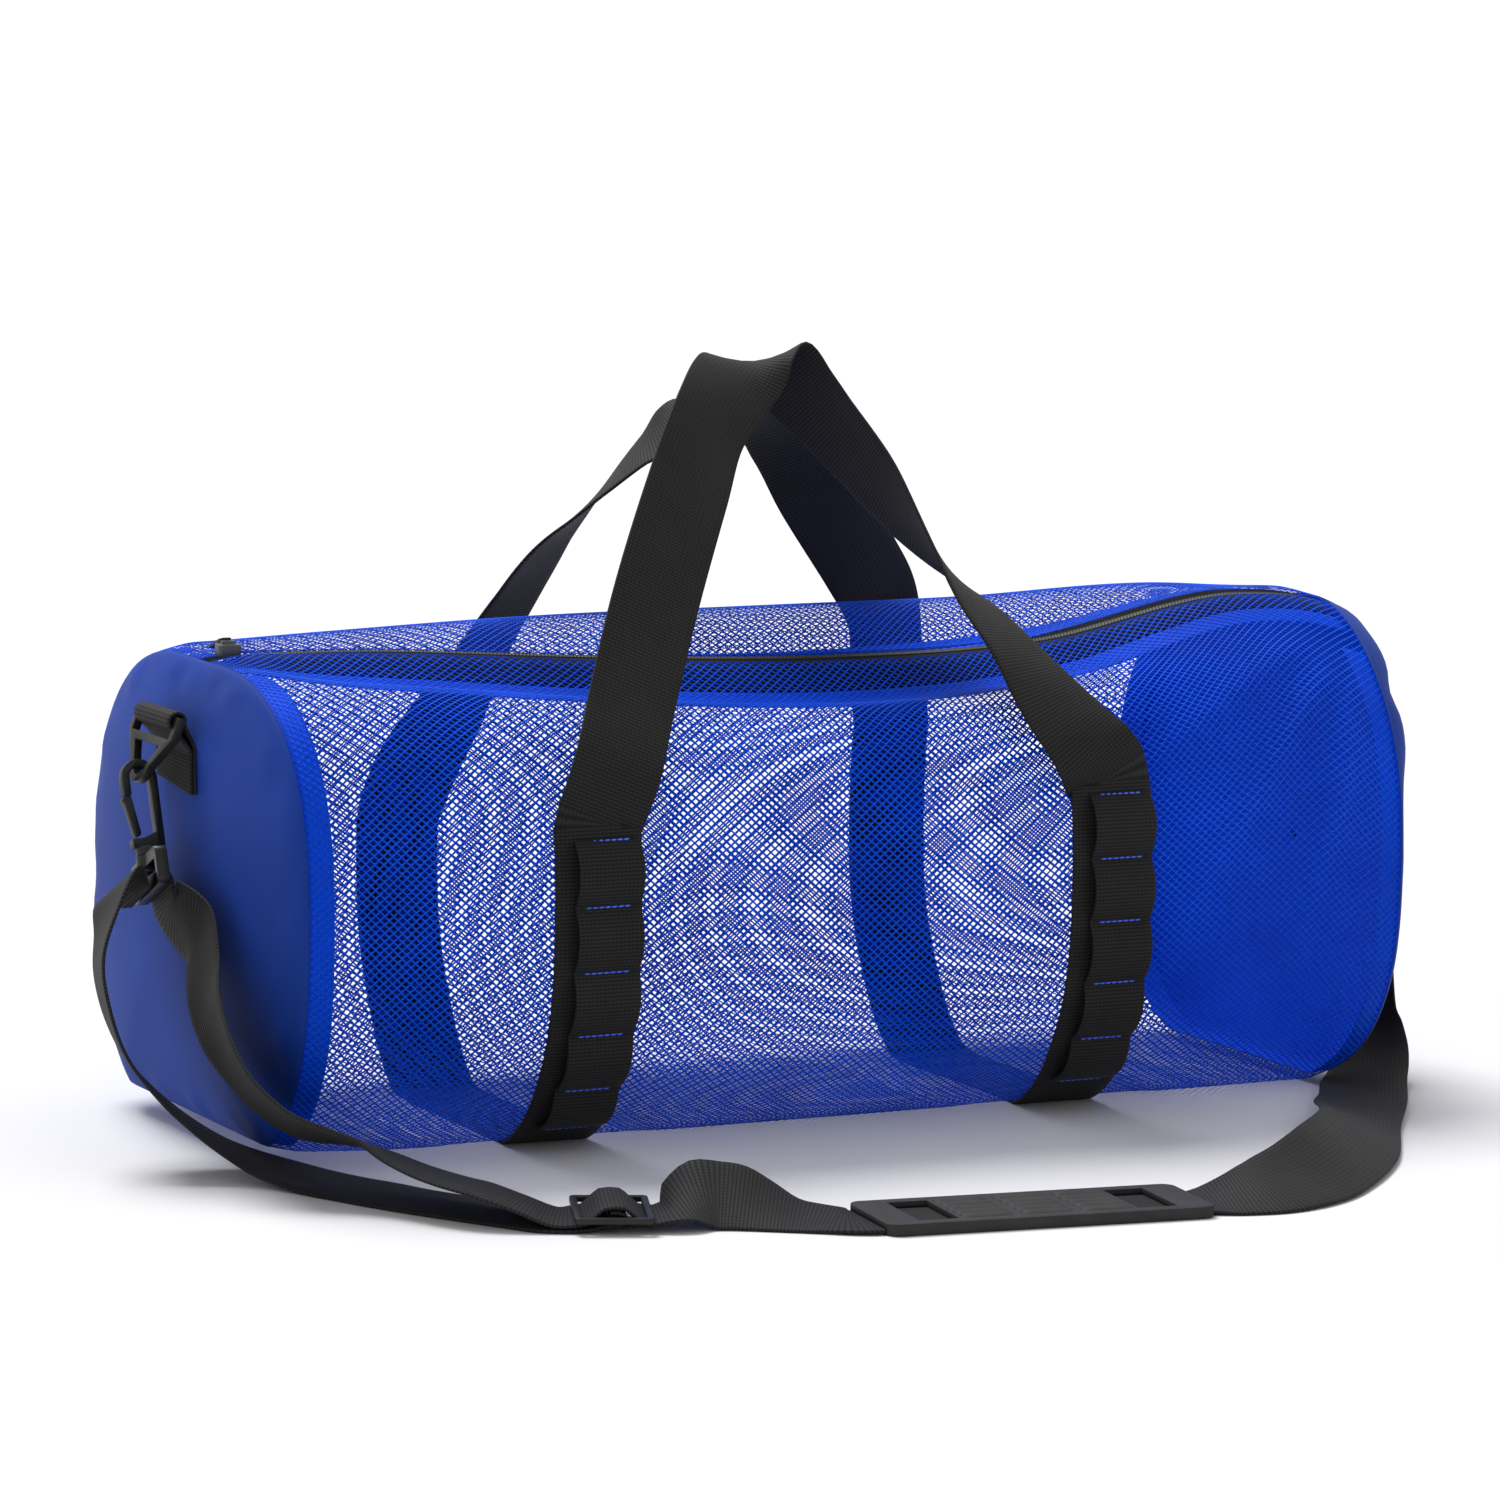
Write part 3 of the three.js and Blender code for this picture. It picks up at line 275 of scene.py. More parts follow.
def tapeFinish():
    # ribbed binding tape, ribs across its length
    material, tree, shader = startFinish("bindingTape")
    rib = bands(tree, layOf(tree), "X", tapeLook["rib"])
    settle(tree, shader, {
        "Base Color": tint(tree, rib, tapeLook), "Normal": emboss(tree, rib, 0.35, 0.15),
        "Roughness": 0.55, "Specular IOR Level": 0.12,
    })
    return material


# fold: size in mm of the blotches of painted shade from soft folds
webLook = {"deep": (8, 8, 8), "bright": (50, 50, 51), "rib": 2.0, "yarn": 2.4, "fold": 70}


def webFinish():
    # webbing: weft ribs across the length, broken by the warp yarns into small blocks; wide cloudy blotches
    # in its colour are painted shade of soft folds
    material, tree, shader = startFinish("webbing")
    lay = layOf(tree)
    rib = bands(tree, lay, "X", webLook["rib"])
    yarn = bands(tree, lay, "Y", webLook["yarn"])
    block = calc(tree, "MULTIPLY", rib, spread(tree, yarn, 0.45, 1.0))
    # painted shade: wide blotches darken and lighten the colour as soft folds would under the light
    fold = cloud(tree, objectSpace(tree), webLook["fold"])
    shade = calc(tree, "ADD", calc(tree, "MULTIPLY", block, 0.55), calc(tree, "MULTIPLY", fold, 0.45))
    settle(tree, shader, {
        "Base Color": tint(tree, shade, webLook), "Roughness": spread(tree, block, 0.78, 0.62),
        "Normal": emboss(tree, block, 0.45, 0.25), "Sheen Weight": 0.02, "Specular IOR Level": 0.14,
    })
    return material


def mouldedFinish(name, deep, bright, roughness, grainSize, bumpHeight, gloss):
    # moulded piece: faint cloudy colour and a fine grain in its gloss
    material, tree, shader = startFinish(name)
    where = objectSpace(tree)
    grain = cloud(tree, where, grainSize, 4.0)
    settle(tree, shader, {
        "Base Color": tint(tree, cloud(tree, where, 14.0), {"deep": deep, "bright": bright}),
        "Roughness": spread(tree, grain, roughness - 0.1, roughness + 0.1),
        "Normal": emboss(tree, grain, 0.3, bumpHeight), "Specular IOR Level": gloss,
    })
    return material


finishes = {
    "net": netFinish(),
    "panel": panelFinish(),
    "tape": tapeFinish(),
    "web": webFinish(),
    "plastic": mouldedFinish("blackPlastic", (14, 14, 15), (27, 27, 28), 0.42, 0.6, 0.05, 0.35),
    "zipTape": mouldedFinish("zipTapeCloth", (8, 8, 9), (17, 17, 18), 0.75, 0.8, 0.12, 0.12),
    "coil": mouldedFinish("zipCoil", (12, 12, 12), (28, 28, 28), 0.45, 0.5, 0.04, 0.25),
    "slider": mouldedFinish("zipSlider", (50, 51, 53), (84, 86, 88), 0.38, 0.5, 0.04, 0.5),
    "pad": mouldedFinish("padRubber", (40, 40, 40), (56, 56, 56), 0.68, 0.7, 0.1, 0.2),
    "thread": mouldedFinish("blueThread", (46, 84, 255), (92, 128, 255), 0.5, 0.4, 0.05, 0.3),
}
print("finishes made,", len(finishes))


# bag surface

bag = {
    "leftEnd": -330.0, "rightEnd": 335.0, "squareness": 2.6, "underFloor": -8.0,
    "endTuck": 0.03, "endTuckLength": 30.0, "zipSagDegrees": 24.0, "zipBehindDegrees": 16.0,
    "zipRidgeDegrees": 10.0, "slitHalf": 7.0,
    "webbingUnder": (-158.0, 158.0), "webbingLift": 2.4, "webbingEdge": (44.0, 76.0), "normalStep": 1.5,
}
ends = ((-1, "left"), (1, "right"))
sections = {
    "x":     [-330, -300, -235, -110, 30, 160, 270, 335],
    "half":  [156, 154, 152, 152, 152, 152, 152, 150],
    "top":   [268, 269, 272, 276, 277, 278, 280, 272],
    "floor": [14, 8, 1, 0, 0, 0, 1, 5],
    "shift": [-4, -1, 2, 0, 0, 0, -2, -6],
    "drop":  [4, 5, 8, 16, 20, 17, -4, -14],
    "ridge": [0, 14, 28, 32, 33, 22, 6, 0],
    "zip":   [2, 3, 6, 14, 17, 16, 18, 24],
}


def column(name, x):
    # cubic between the table's rows, with each row's slope taken from the rows beside it
    xs, ys = np.array(sections["x"], float), np.array(sections[name], float)
    last = len(xs) - 1
    k = np.arange(last + 1)
    low, high = np.maximum(k - 1, 0), np.minimum(k + 1, last)
    slope = (ys[high] - ys[low]) / (xs[high] - xs[low])
    i = np.clip(np.searchsorted(xs, x, side="left") - 1, 0, last - 1)
    span = xs[i + 1] - xs[i]
    t = np.clip((x - xs[i]) / span, 0, 1)
    return cubic(t, ys[i], slope[i] * span, ys[i + 1], slope[i + 1] * span)


def endAt(side):
    return bag["leftEnd"] if side < 0 else bag["rightEnd"]


def middleOf(x):
    # middle of the section at x
    return np.stack([x, column("shift", x), (column("top", x) + bag["underFloor"]) / 2], -1)


def floorUnder(x):
    lifts = [1 - smoothstep(np.abs(x - middle), *bag["webbingEdge"]) for middle in bag["webbingUnder"]]
    return np.maximum(column("floor", x), bag["webbingLift"] * np.maximum(*lifts))


def skin(x, angle):
    # rounded-square section: radius from the sum of powers of sine over half width and cosine over half
    # height; the top sinks in a wide bell curve at the zip, out of which the stiff zip stands in a narrow
    # one, and the bottom is cut off flat at the floor
    x, angle = np.broadcast_arrays(np.asarray(x, float), np.asarray(angle, float))
    top = column("top", x)
    tall, middle = (top - bag["underFloor"]) / 2, (top + bag["underFloor"]) / 2
    power = bag["squareness"]
    radius = (np.abs(np.sin(angle) / column("half", x)) ** power
              + np.abs(np.cos(angle) / tall) ** power) ** (-1 / power)
    nearEnd = np.minimum(x - bag["leftEnd"], bag["rightEnd"] - x)
    tuck = np.clip(1 - nearEnd / bag["endTuckLength"], 0, 1)
    radius = radius * (1 - bag["endTuck"] * tuck**2)
    turn = angle - np.radians(column("zip", x))
    fromZip = np.degrees(np.arctan2(np.sin(turn), np.cos(turn)))
    width = np.where(fromZip < 0, bag["zipBehindDegrees"], bag["zipSagDegrees"])
    trough = bell(fromZip, 0, width) - bell(fromZip, 0, bag["zipRidgeDegrees"])
    sag = column("drop", x) * bell(fromZip, 0, bag["zipSagDegrees"]) + column("ridge", x) * trough
    z = middle + radius * np.cos(angle) - sag
    return np.stack([x, column("shift", x) - radius * np.sin(angle), np.maximum(z, floorUnder(x))], -1)


def offSkin(x, angle, distance):
    # the skin moved out along its section's normal
    step = math.radians(bag["normalStep"])
    along = skin(x, angle + step) - skin(x, angle - step)
    normal = unit(np.stack([np.zeros_like(along[..., 0]), along[..., 2], -along[..., 1]], -1))
    return skin(x, angle) + normal * np.asarray(distance, float)[..., None]


def besideZip(x, distance):
    # angle of a line that many mm from the middle of the zip, positive to the front
    zipAngle = np.radians(column("zip", x))
    return zipAngle + distance / np.linalg.norm(skin(x, zipAngle) - middleOf(x), axis=-1)


def slitEdges(x):
    # angles of the wall's two edges, from the front of the zip round to its back
    return besideZip(x, bag["slitHalf"]), besideZip(x, -bag["slitHalf"]) + 2 * math.pi


def angleAtHeight(x, height, side):
    # angle on the front (1) or back (-1) where the skin passes a height
    angles = np.radians(np.linspace(40, 170, 4001))
    return side * np.interp(-height, -skin(x, side * angles)[:, 2], angles)


def skinSheet(name, x, angles, top, bottom):
    # sheet whose two faces lie at these distances off the skin
    return slab(name, offSkin(x, angles, top), offSkin(x, angles, bottom))


# net of the wall: two sets of coated strands crossing in diamonds

net = {
    "halfCell": (2.64, 2.22), "strand": 0.31, "depth": 0.25, "pieces": 4, "stations": 134, "shares": 481,
    "foldTurns": (16.0, 37.0, 60.0), "foldRise": (3.4, 4.2, 3.0), "foldWidth": 9.0, "foldCorner": (10, 34),
    "foldGrow": (10, 60), "foldFade": (120, 260), "pucker": 0.9, "puckerPitch": 37.0, "puckerAt": 16,
    "puckerWide": 10, "sharpDegrees": 115, "middle": (0.0, 0.0, 130.0),
}


def wallTable():
    # angle at equal shares of the way round from one edge of the zip to the other, at stations along the bag
    stations = np.linspace(bag["leftEnd"], bag["rightEnd"], net["stations"])
    start, stop = slitEdges(stations)
    fan = np.linspace(0, 1, 1441)
    angles = start[:, None] + (stop - start)[:, None] * fan
    lengths = lengthsAlong(skin(stations[:, None], angles), 1)
    shares = np.linspace(0, 1, net["shares"])
    table = np.array([np.interp(shares, way / way[-1], row) for way, row in zip(lengths, angles)])
    return table, lengths[:, -1].mean()


angleTable, wallRound = wallTable()


def wallAngle(x, share):
    # the table read between its rows and columns
    i = (x - bag["leftEnd"]) / (bag["rightEnd"] - bag["leftEnd"]) * (net["stations"] - 1)
    j = share * (net["shares"] - 1)
    i0 = np.clip(np.floor(i).astype(int), 0, net["stations"] - 2)
    j0 = np.clip(np.floor(j).astype(int), 0, net["shares"] - 2)
    s, t = i - i0, j - j0
    return ((1 - s) * ((1 - t) * angleTable[i0, j0] + t * angleTable[i0, j0 + 1])
            + s * ((1 - t) * angleTable[i0 + 1, j0] + t * angleTable[i0 + 1, j0 + 1]))


netAlong = 2 * round((bag["rightEnd"] - bag["leftEnd"]) / net["halfCell"][0] / 2)
netAround = 2 * round(wallRound / net["halfCell"][1] / 2)


def foldLift(x, share):
    # soft folds fan out from the top right corner, each a bell curve about its own line, and small puckers
    # run along both end seams as a sine that dies away from the seam
    fromRight, fromZip = bag["rightEnd"] - x, share * wallRound
    beside, below = fromRight - net["foldCorner"][0], fromZip - net["foldCorner"][1]
    lift = np.zeros_like(x)
    for turn, rise in zip(np.radians(net["foldTurns"]), net["foldRise"]):
        off = beside * np.cos(turn) - below * np.sin(turn)
        along = beside * np.sin(turn) + below * np.cos(turn)
        run = smoothstep(along, *net["foldGrow"]) * (1 - smoothstep(along, *net["foldFade"]))
        lift += rise * bell(off, 0, net["foldWidth"]) * run
    fromSeam = np.minimum(fromRight, x - bag["leftEnd"])
    ripple = 0.5 + 0.5 * np.sin(2 * math.pi * fromZip / net["puckerPitch"])
    return lift + net["pucker"] * ripple * bell(fromSeam, net["puckerAt"], net["puckerWide"])


def netPoint(i, j, lift):
    # place on the wall of lattice column i and row j, lifted off the skin
    x = bag["leftEnd"] + (bag["rightEnd"] - bag["leftEnd"]) * i / netAlong
    return offSkin(x, wallAngle(x, j / netAround), lift + foldLift(x, j / netAround))


def netMesh(name, firstRow, lastRow):
    # Diamond cells stand at lattice points with an odd sum. Each has a knot at its left, top, right and
    # bottom and a hole whose corners lie a strand's share in from the knots. In front, four faces slope from
    # the knots' lines down to the hole; behind, flat faces join the holes of neighbouring cells. On the
    # border of a piece, where no cell follows, a half strand ends in a wall behind the knots' line.
    columns, rows = np.meshgrid(np.arange(netAlong + 1), np.arange(firstRow, lastRow), indexing="ij")
    keep = (columns + rows) % 2 == 1
    ci, cj = columns[keep], rows[keep]
    count = len(ci)
    knotI = np.stack([ci - 1, ci, ci + 1, ci], 1)
    knotJ = np.stack([cj, cj + 1, cj, cj - 1], 1)
    wide = netAround + 10
    keys, knot = np.unique((knotI + 2) * wide + knotJ + 2, return_inverse=True)
    knot = knot.reshape(count, 4)
    ki, kj = keys // wide - 2, keys % wide - 2
    cellAt = np.full((netAlong + 5, lastRow - firstRow + 4), -1)
    cellAt[ci + 2, cj - firstRow + 2] = np.arange(count)
    sides = ((1, 0), (0, 1), (-1, 0), (0, -1))
    beside = np.stack([cellAt[ki + di + 2, kj + dj - firstRow + 2] for di, dj in sides], 1)
    border = np.nonzero((beside < 0).any(1))[0]
    behind = np.full(len(keys), -1)
    behind[border] = len(keys) + np.arange(len(border))
    corner = len(keys) + len(border) + np.arange(4 * count).reshape(count, 4)

    u = np.clip(ki, 0, netAlong).astype(float)
    v = np.clip(kj, 0, netAround).astype(float)
    cornerU = u[knot] + net["strand"] * (u[knot].mean(1, keepdims=True) - u[knot])
    cornerV = v[knot] + net["strand"] * (v[knot].mean(1, keepdims=True) - v[knot])
    points = np.concatenate([netPoint(u, v, 0.0), netPoint(u[border], v[border], -net["depth"]),
                             netPoint(cornerU.ravel(), cornerV.ravel(), -net["depth"])])

    quads, triangles = [], []
    for k, (di, dj) in enumerate([(-1, 1), (1, 1), (1, -1), (-1, -1)]):
        after = (k + 1) % 4
        n, m, c, d = knot[:, k], knot[:, after], corner[:, k], corner[:, after]
        quads.append(np.stack([n, m, d, c], 1))
        other = cellAt[ci + di + 2, cj + dj - firstRow + 2]
        bare = other < 0
        quads.append(np.stack([c, d, behind[m], behind[n]], 1)[bare])
        quads.append(np.stack([behind[n], behind[m], m, n], 1)[bare])
        if k < 2:
            a, b = np.nonzero(~bare)[0], other[~bare]
            strip = [corner[a, k], corner[a, after], corner[b, k + 2], corner[b, (k + 3) % 4]]
            quads.append(np.stack(strip, 1))

    # behind each knot, the nearest corners of the cells on its right, top, left and bottom
    near = np.where(beside >= 0, corner[beside, [0, 3, 2, 1]], -1)
    quads.append(near[(near >= 0).all(1)])
    for k in range(4):
        pair = border[(near[border, k] >= 0) & (near[border, (k + 1) % 4] >= 0)]
        triangles.append(np.stack([behind[pair], near[pair, k], near[pair, (k + 1) % 4]], 1))
    faces = [np.concatenate(quads), np.concatenate(triangles)]
    first = points[faces[0][:400:7]]
    normals = np.cross(first[:, 1] - first[:, 0], first[:, 3] - first[:, 0])
    outwards = first.mean(1) - net["middle"]
    outwards[:, 0] = 0
    if np.einsum("ij,ij->", normals, outwards) < 0:
        faces = [f[:, ::-1] for f in faces]
    mesh = meshFrom(name, points, faces)
    # the ridges stay soft and the strands' backs crisp
    mesh.set_sharp_from_angle(angle=math.radians(net["sharpDegrees"]))
    shading = np.zeros(points.shape)  # border knots shade as if the next piece went on, the rest as they are
    shading[border] = unit(netPoint(u[border], v[border], 1.0) - points[border])
    mesh.normals_split_custom_set_from_vertices(shading)
    return mesh


netRows = np.linspace(0, netAround + 1, net["pieces"] + 1).round().astype(int)
netNames = ["net_front", "net_front_under", "net_back_under", "net_back"]
for name, firstRow, lastRow in zip(netNames, netRows[:-1], netRows[1:]):
    addPiece(name, netMesh(name, firstRow, lastRow), "net", ["mesh_wall"])
print("net made,", netAlong, "by", netAround, "half cells")


# end panels

panel = {
    "bulge": 15.0, "edge": 6.0, "gap": 0.4, "cloth": 1.2, "around": 144, "rings": 28, "pucker": 0.7,
    "puckerAt": 0.93, "puckerWide": 0.05, "rollFrom": 5.0, "rollGrow": 22.0, "rollTo": 78.0, "rollFade": 30.0,
    "rollOut": 15.0, "rollAt": 0.94, "rollWide": 0.08, "creaseAt": 50.0, "creaseWide": 5.0,
    "creaseDepth": 0.55, "crowding": 1.7, "inmost": 0.985, "puckerWaves": (17, 29), "second": 0.6,
}


def panelRise(reach):
    return panel["bulge"] * (1 - reach**2.2) + panel["edge"] * np.sqrt(np.clip(1 - reach**9, 0, None))


def panelMesh(name, side):
    # dome over the end section: each point goes a share of the way from the middle to the rim, and stands
    # out by a bulge plus a rolled edge; small puckers run in from the seam, and at the top front of the right
    # panel the cloth rolls out further, in a bell curve near the rim with a crease across it
    end = endAt(side)
    angles = np.linspace(0, 2 * math.pi, panel["around"], endpoint=False)
    reach = (1 - np.linspace(0, 1, panel["rings"]) ** panel["crowding"] * panel["inmost"])[:, None]
    rim, centre = skin(end, angles), middleOf(end)
    far = np.linalg.norm(rim - centre, axis=1)
    few, many = panel["puckerWaves"]
    pucker = (np.sin(few * angles) + panel["second"] * np.sin(many * angles + 1.3)) * panel["pucker"]
    wide = bell(reach, panel["puckerAt"], panel["puckerWide"]) * pucker
    if side > 0:
        turn = np.degrees(angles)
        grow = smoothstep(turn, panel["rollFrom"], panel["rollFrom"] + panel["rollGrow"])
        fade = smoothstep(-turn, -panel["rollTo"], panel["rollFade"] - panel["rollTo"])
        crease = 1 - panel["creaseDepth"] * bell(turn, panel["creaseAt"], panel["creaseWide"])
        lip = bell(reach, panel["rollAt"], panel["rollWide"])
        wide = wide + panel["rollOut"] * grow * fade * crease * lip

    def layer(depth):
        share = reach * (1 - depth / far)
        points = centre + (rim - centre) * share[..., None]
        rise = panelRise(reach) - depth * (1 - reach**12) + wide * (1 - reach**30)
        points[..., 0] = end + side * (panel["gap"] + np.maximum(rise, 0))
        return points

    outer, inner = layer(0.0), layer(panel["cloth"])
    rows, columns = outer.shape[:2]
    half = rows * columns
    points = np.concatenate([outer.reshape(-1, 3), inner.reshape(-1, 3)])
    skinFaces = gridFaces(rows, columns, True)
    ids = np.arange(columns)
    nextIds = (ids + 1) % columns
    seam = np.stack([nextIds, ids, ids + half, nextIds + half], -1)
    cap = np.arange((rows - 1) * columns, rows * columns)[None, :]
    faces = [skinFaces, skinFaces[:, ::-1] + half, seam, cap, cap[:, ::-1] + half]
    mesh = meshFrom(name, points, outwardFaces(points, faces))
    inside = mesh.attributes.new("inside", "FLOAT", "POINT")  # the inner face is painted a brighter blue: painted light on the cloth's inner face
    inside.data.foreach_set("value", np.repeat([0.0, 1.0], half).astype(np.float32))
    return mesh


for side, name in ends:
    addPiece(name + "_panel_cloth", panelMesh(name, side), "panel", [name + "_end_panel"])
print("end panels made")


# seam tape inside each end, zip tapes, hems and coil

seamTape = {"inset": 14.0, "depth": 1.6, "thick": 1.0, "first": 4 / 39, "crowding": 0.6,
            "rows": 8, "around": 160}
for side, name in ends:
    x = (endAt(side) - side * np.linspace(0, seamTape["inset"], seamTape["rows"]))[:, None]
    share = np.linspace(seamTape["first"], 1 - seamTape["first"], seamTape["around"])[None, :]
    bent = share - seamTape["crowding"] * np.sin(2 * math.pi * share) / (2 * math.pi)
    start, stop = slitEdges(x)
    top = -seamTape["depth"]
    mesh = skinSheet(name, x, start + (stop - start) * bent, top, top - seamTape["thick"])
    addPiece(name + "_seam_binding", mesh, "tape", [name + "_seam_tape"])

zipSet = {
    "from": -326.0, "to": 332.0, "coilFrom": -310.1, "coilHalf": 2.6, "tapeNear": 3.0, "tapeFar": 21.0,
    "hemNear": 21.4, "hemFar": 34.0, "level": -2.0, "thick": 0.8, "coilLift": 0.7,
    "coilThick": 2.2, "tooth": 2.0, "toothHeight": 0.75, "toothDeep": 0.5, "step": 6.0, "columns": 9,
}


def zipStrip(name, near, far):
    # strip between two distances from the zip's middle, just under the wall
    steps = round((zipSet["to"] - zipSet["from"]) / zipSet["step"])
    x = np.linspace(zipSet["from"], zipSet["to"], steps + 1)[:, None]
    angles = besideZip(x, np.linspace(near, far, zipSet["columns"])[None, :])
    return skinSheet(name, x, angles, zipSet["level"], zipSet["level"] - zipSet["thick"])


def zipCoil(name):
    # two rows of rounded teeth, each a half sine along the zip, set half a tooth apart left and right
    steps = round((zipSet["to"] - zipSet["coilFrom"]) / zipSet["tooth"] * 4)
    x = np.linspace(zipSet["coilFrom"], zipSet["to"], steps + 1)[:, None]
    across = np.array([-1, -0.85, -0.45, -0.08, 0.08, 0.45, 0.85, 1])[None, :]
    angles = besideZip(x, across * zipSet["coilHalf"])
    phase = 2 * math.pi * (x - zipSet["coilFrom"]) / zipSet["tooth"] + math.pi * (across > 0)
    crown = np.clip(1 - np.abs(across) ** 3, 0, 1)
    tooth = zipSet["toothHeight"] * (0.5 + 0.5 * np.sin(phase)) * crown * (np.abs(across) > 0.1)
    level = zipSet["level"] + zipSet["coilLift"]
    return skinSheet(name, x, angles, level - zipSet["toothDeep"] + tooth, level - zipSet["coilThick"])


for side, name in ((1, "front"), (-1, "back")):
    tape = zipStrip(name, side * zipSet["tapeNear"], side * zipSet["tapeFar"])
    addPiece(name + "_zip_cloth", tape, "zipTape", [name + "_zip_tape"])
    hem = zipStrip(name, side * zipSet["hemNear"], side * zipSet["hemFar"])
    addPiece(name + "_hem_binding", hem, "tape", [name + "_zip_hem"])
addPiece("zip_teeth", zipCoil("zipTeeth"), "coil", ["zip_coil"])
print("tapes and zip made")


# webbing along paths

web = {"width": 50.0, "thick": 1.8, "seat": 0.5, "spacing": 4.0, "gap": 0.4, "floorRoom": 0.1,
       "flatPoints": 11, "barRoom": 0.5}


def spline(at, across, spacing):
    # curve through the rows: centripetal for the places, plain for the crosswise directions
    at, across = np.asarray(at, float), np.asarray(across, float)
    gaps = np.linalg.norm(np.diff(at, axis=0), axis=1)
    steps = np.maximum(1, np.round(gaps / spacing)).astype(int)
    seg = np.repeat(np.arange(len(gaps)), steps)
    first = np.repeat(np.cumsum(steps) - steps, steps)
    t = ((np.arange(steps.sum()) - first) / np.repeat(steps, steps))[:, None]

    def through(rows, knots):
        padded = np.vstack([2 * rows[0] - rows[1], rows, 2 * rows[-1] - rows[-2]])
        p0, p1, p2, p3 = (padded[seg + k] for k in range(4))
        d0, d1, d2 = (np.ones((len(seg), 1)),) * 3
        if knots:
            d0, d1, d2 = (np.maximum(np.linalg.norm(b - a, axis=1, keepdims=True), 1e-6) ** 0.5
                          for a, b in ((p0, p1), (p1, p2), (p2, p3)))
        m1 = d1 * ((p1 - p0) / d0 - (p2 - p0) / (d0 + d1) + (p2 - p1) / d1)
        m2 = d1 * ((p2 - p1) / d1 - (p3 - p1) / (d1 + d2) + (p3 - p2) / d2)
        return np.vstack([cubic(t, p1, m1, p2, m2), rows[-1:]])

    return through(at, True), unit(through(across, False))


def aheadOf(at):
    index = np.arange(len(at))
    return unit(at[np.minimum(index + 1, len(at) - 1)] - at[np.maximum(index - 1, 0)])


# a path's rows: place of the webbing's middle, its crosswise direction, and 1 where that stays as it is

def pathRows(at, across, fixed):
    return np.hstack([at, np.broadcast_to(across, at.shape), np.full((len(at), 1), float(fixed))])


def between(before, rows, after, spacing):
    # rows of a curve from the row before, through places with directions, to the row after
    rows = np.array(rows, float)
    at, across = spline(np.vstack([before[:3], rows[:, :3], after[:3]]),
                        np.vstack([before[3:6], unit(rows[:, 3:]), after[3:6]]), spacing)
    return pathRows(at, across, 0)[1:-1]


def squared(rows):
    # places, and crosswise directions squared to the path except on rows that keep theirs
    at, across = rows[:, :3], unit(rows[:, 3:6])
    ahead = aheadOf(at)
    square = across - ahead * np.einsum("ij,ij->i", across, ahead)[:, None]
    return at, unit(np.where(rows[:, 6:] > 0, across, square))


def ribbon(name, at, across, width=web["width"], thick=web["thick"], edge=0.7):
    # a flat section with rounded edges carried along the path; uv is mm along and mm across
    face = unit(np.cross(across, aheadOf(at)))
    side, level = width / 2 - edge, np.ones(web["flatPoints"])
    flat = np.linspace(-1, 1, web["flatPoints"]) * side
    bend = np.radians([-60, -20, 20, 60])
    a = np.concatenate([flat, side + edge * np.cos(bend[::-1]), flat[::-1], -side - edge * np.cos(bend)])
    b = np.concatenate([level, np.sin(bend[::-1]), -level, np.sin(bend)]) * thick / 2
    points = at[:, None] + a[None, :, None] * across[:, None] + b[None, :, None] * face[:, None]
    rows, columns = points.shape[:2]
    uv = np.stack(np.broadcast_arrays(lengthsAlong(at)[:, None], a[None, :]), -1).reshape(-1, 2)
    points = points.reshape(-1, 3)
    return meshFrom(name, points, outwardFaces(points, tubeFaces(rows, columns)), uv)


# handles, sewn on down to the middle of the bottom

legs = {
    "frontLeft": {"x": -165, "under": -158, "top": 181},
    "frontRight": {"x": 146, "under": 158, "top": 191},
    "backLeft": {"x": -147, "under": -158, "top": 145},
    "backRight": {"x": 170, "under": 158, "top": 186},
}
# free part of each handle: x, y, z of the webbing's middle, and its crosswise direction
frontHandle = [
    (-152, -146, 212, 0.94, -0.1, -0.3), (-136, -128, 243, 0.9, -0.15, -0.4),
    (-109, -100, 294, 0.86, -0.18, -0.46), (-70, -60, 352, 0.85, -0.1, -0.5),
    (-43, -32, 386, 0.85, 0.06, -0.5), (-20, -12, 403, 0.88, -0.15, -0.33), (0, 2, 413, 0.84, -0.5, 0.1),
    (16, 8, 411, 0.66, -0.66, 0.34), (30, 4, 396, 0.42, -0.82, 0.4), (42, -4, 380, 0.25, -0.88, 0.4),
    (60, -24, 352, 0.08, -0.93, 0.34), (72, -46, 327, -0.16, -0.95, 0.26), (81, -66, 308, -0.4, -0.9, 0.17),
    (92, -90, 286, -0.63, -0.78, -0.06), (103, -116, 262, -0.74, -0.65, -0.17),
    (115, -138, 235, -0.87, -0.36, -0.3), (131, -153, 210, -0.96, -0.05, -0.24),
]
backHandle = [
    (-142, 155, 158, -0.99, 0.05, 0.12), (-132, 156, 177, -0.95, 0, 0.25),
    (-114, 154, 206, -0.86, -0.25, 0.38), (-97, 146, 242, -0.7, -0.58, 0.4),
    (-84, 127, 276, -0.6, -0.72, 0.35), (-77, 105, 302, -0.52, -0.8, 0.28),
    (-65, 90, 322, -0.44, -0.88, 0.16), (-53, 76, 341, -0.3, -0.94, 0.1), (-38, 62, 361, -0.1, -0.97, 0.05),
    (-24, 54, 374, 0.2, -0.95, -0.1), (-8, 52, 382, 0.4, -0.88, -0.1), (12, 55, 385, 0.25, -0.94, 0.1),
    (30, 59, 377, 0, -0.95, 0.3), (48, 60, 361, 0.2, -0.88, 0.42), (73, 64, 334, 0.5, -0.62, 0.58),
    (118, 98, 292, 0.78, -0.1, 0.6), (152, 130, 258, 0.88, 0, 0.45), (167, 152, 222, 0.97, 0, 0.2),
]

sewn = {"steps": 88, "turnIn": (120.0, 165.0), "topLift": 0.4, "topShare": 1 / 11}


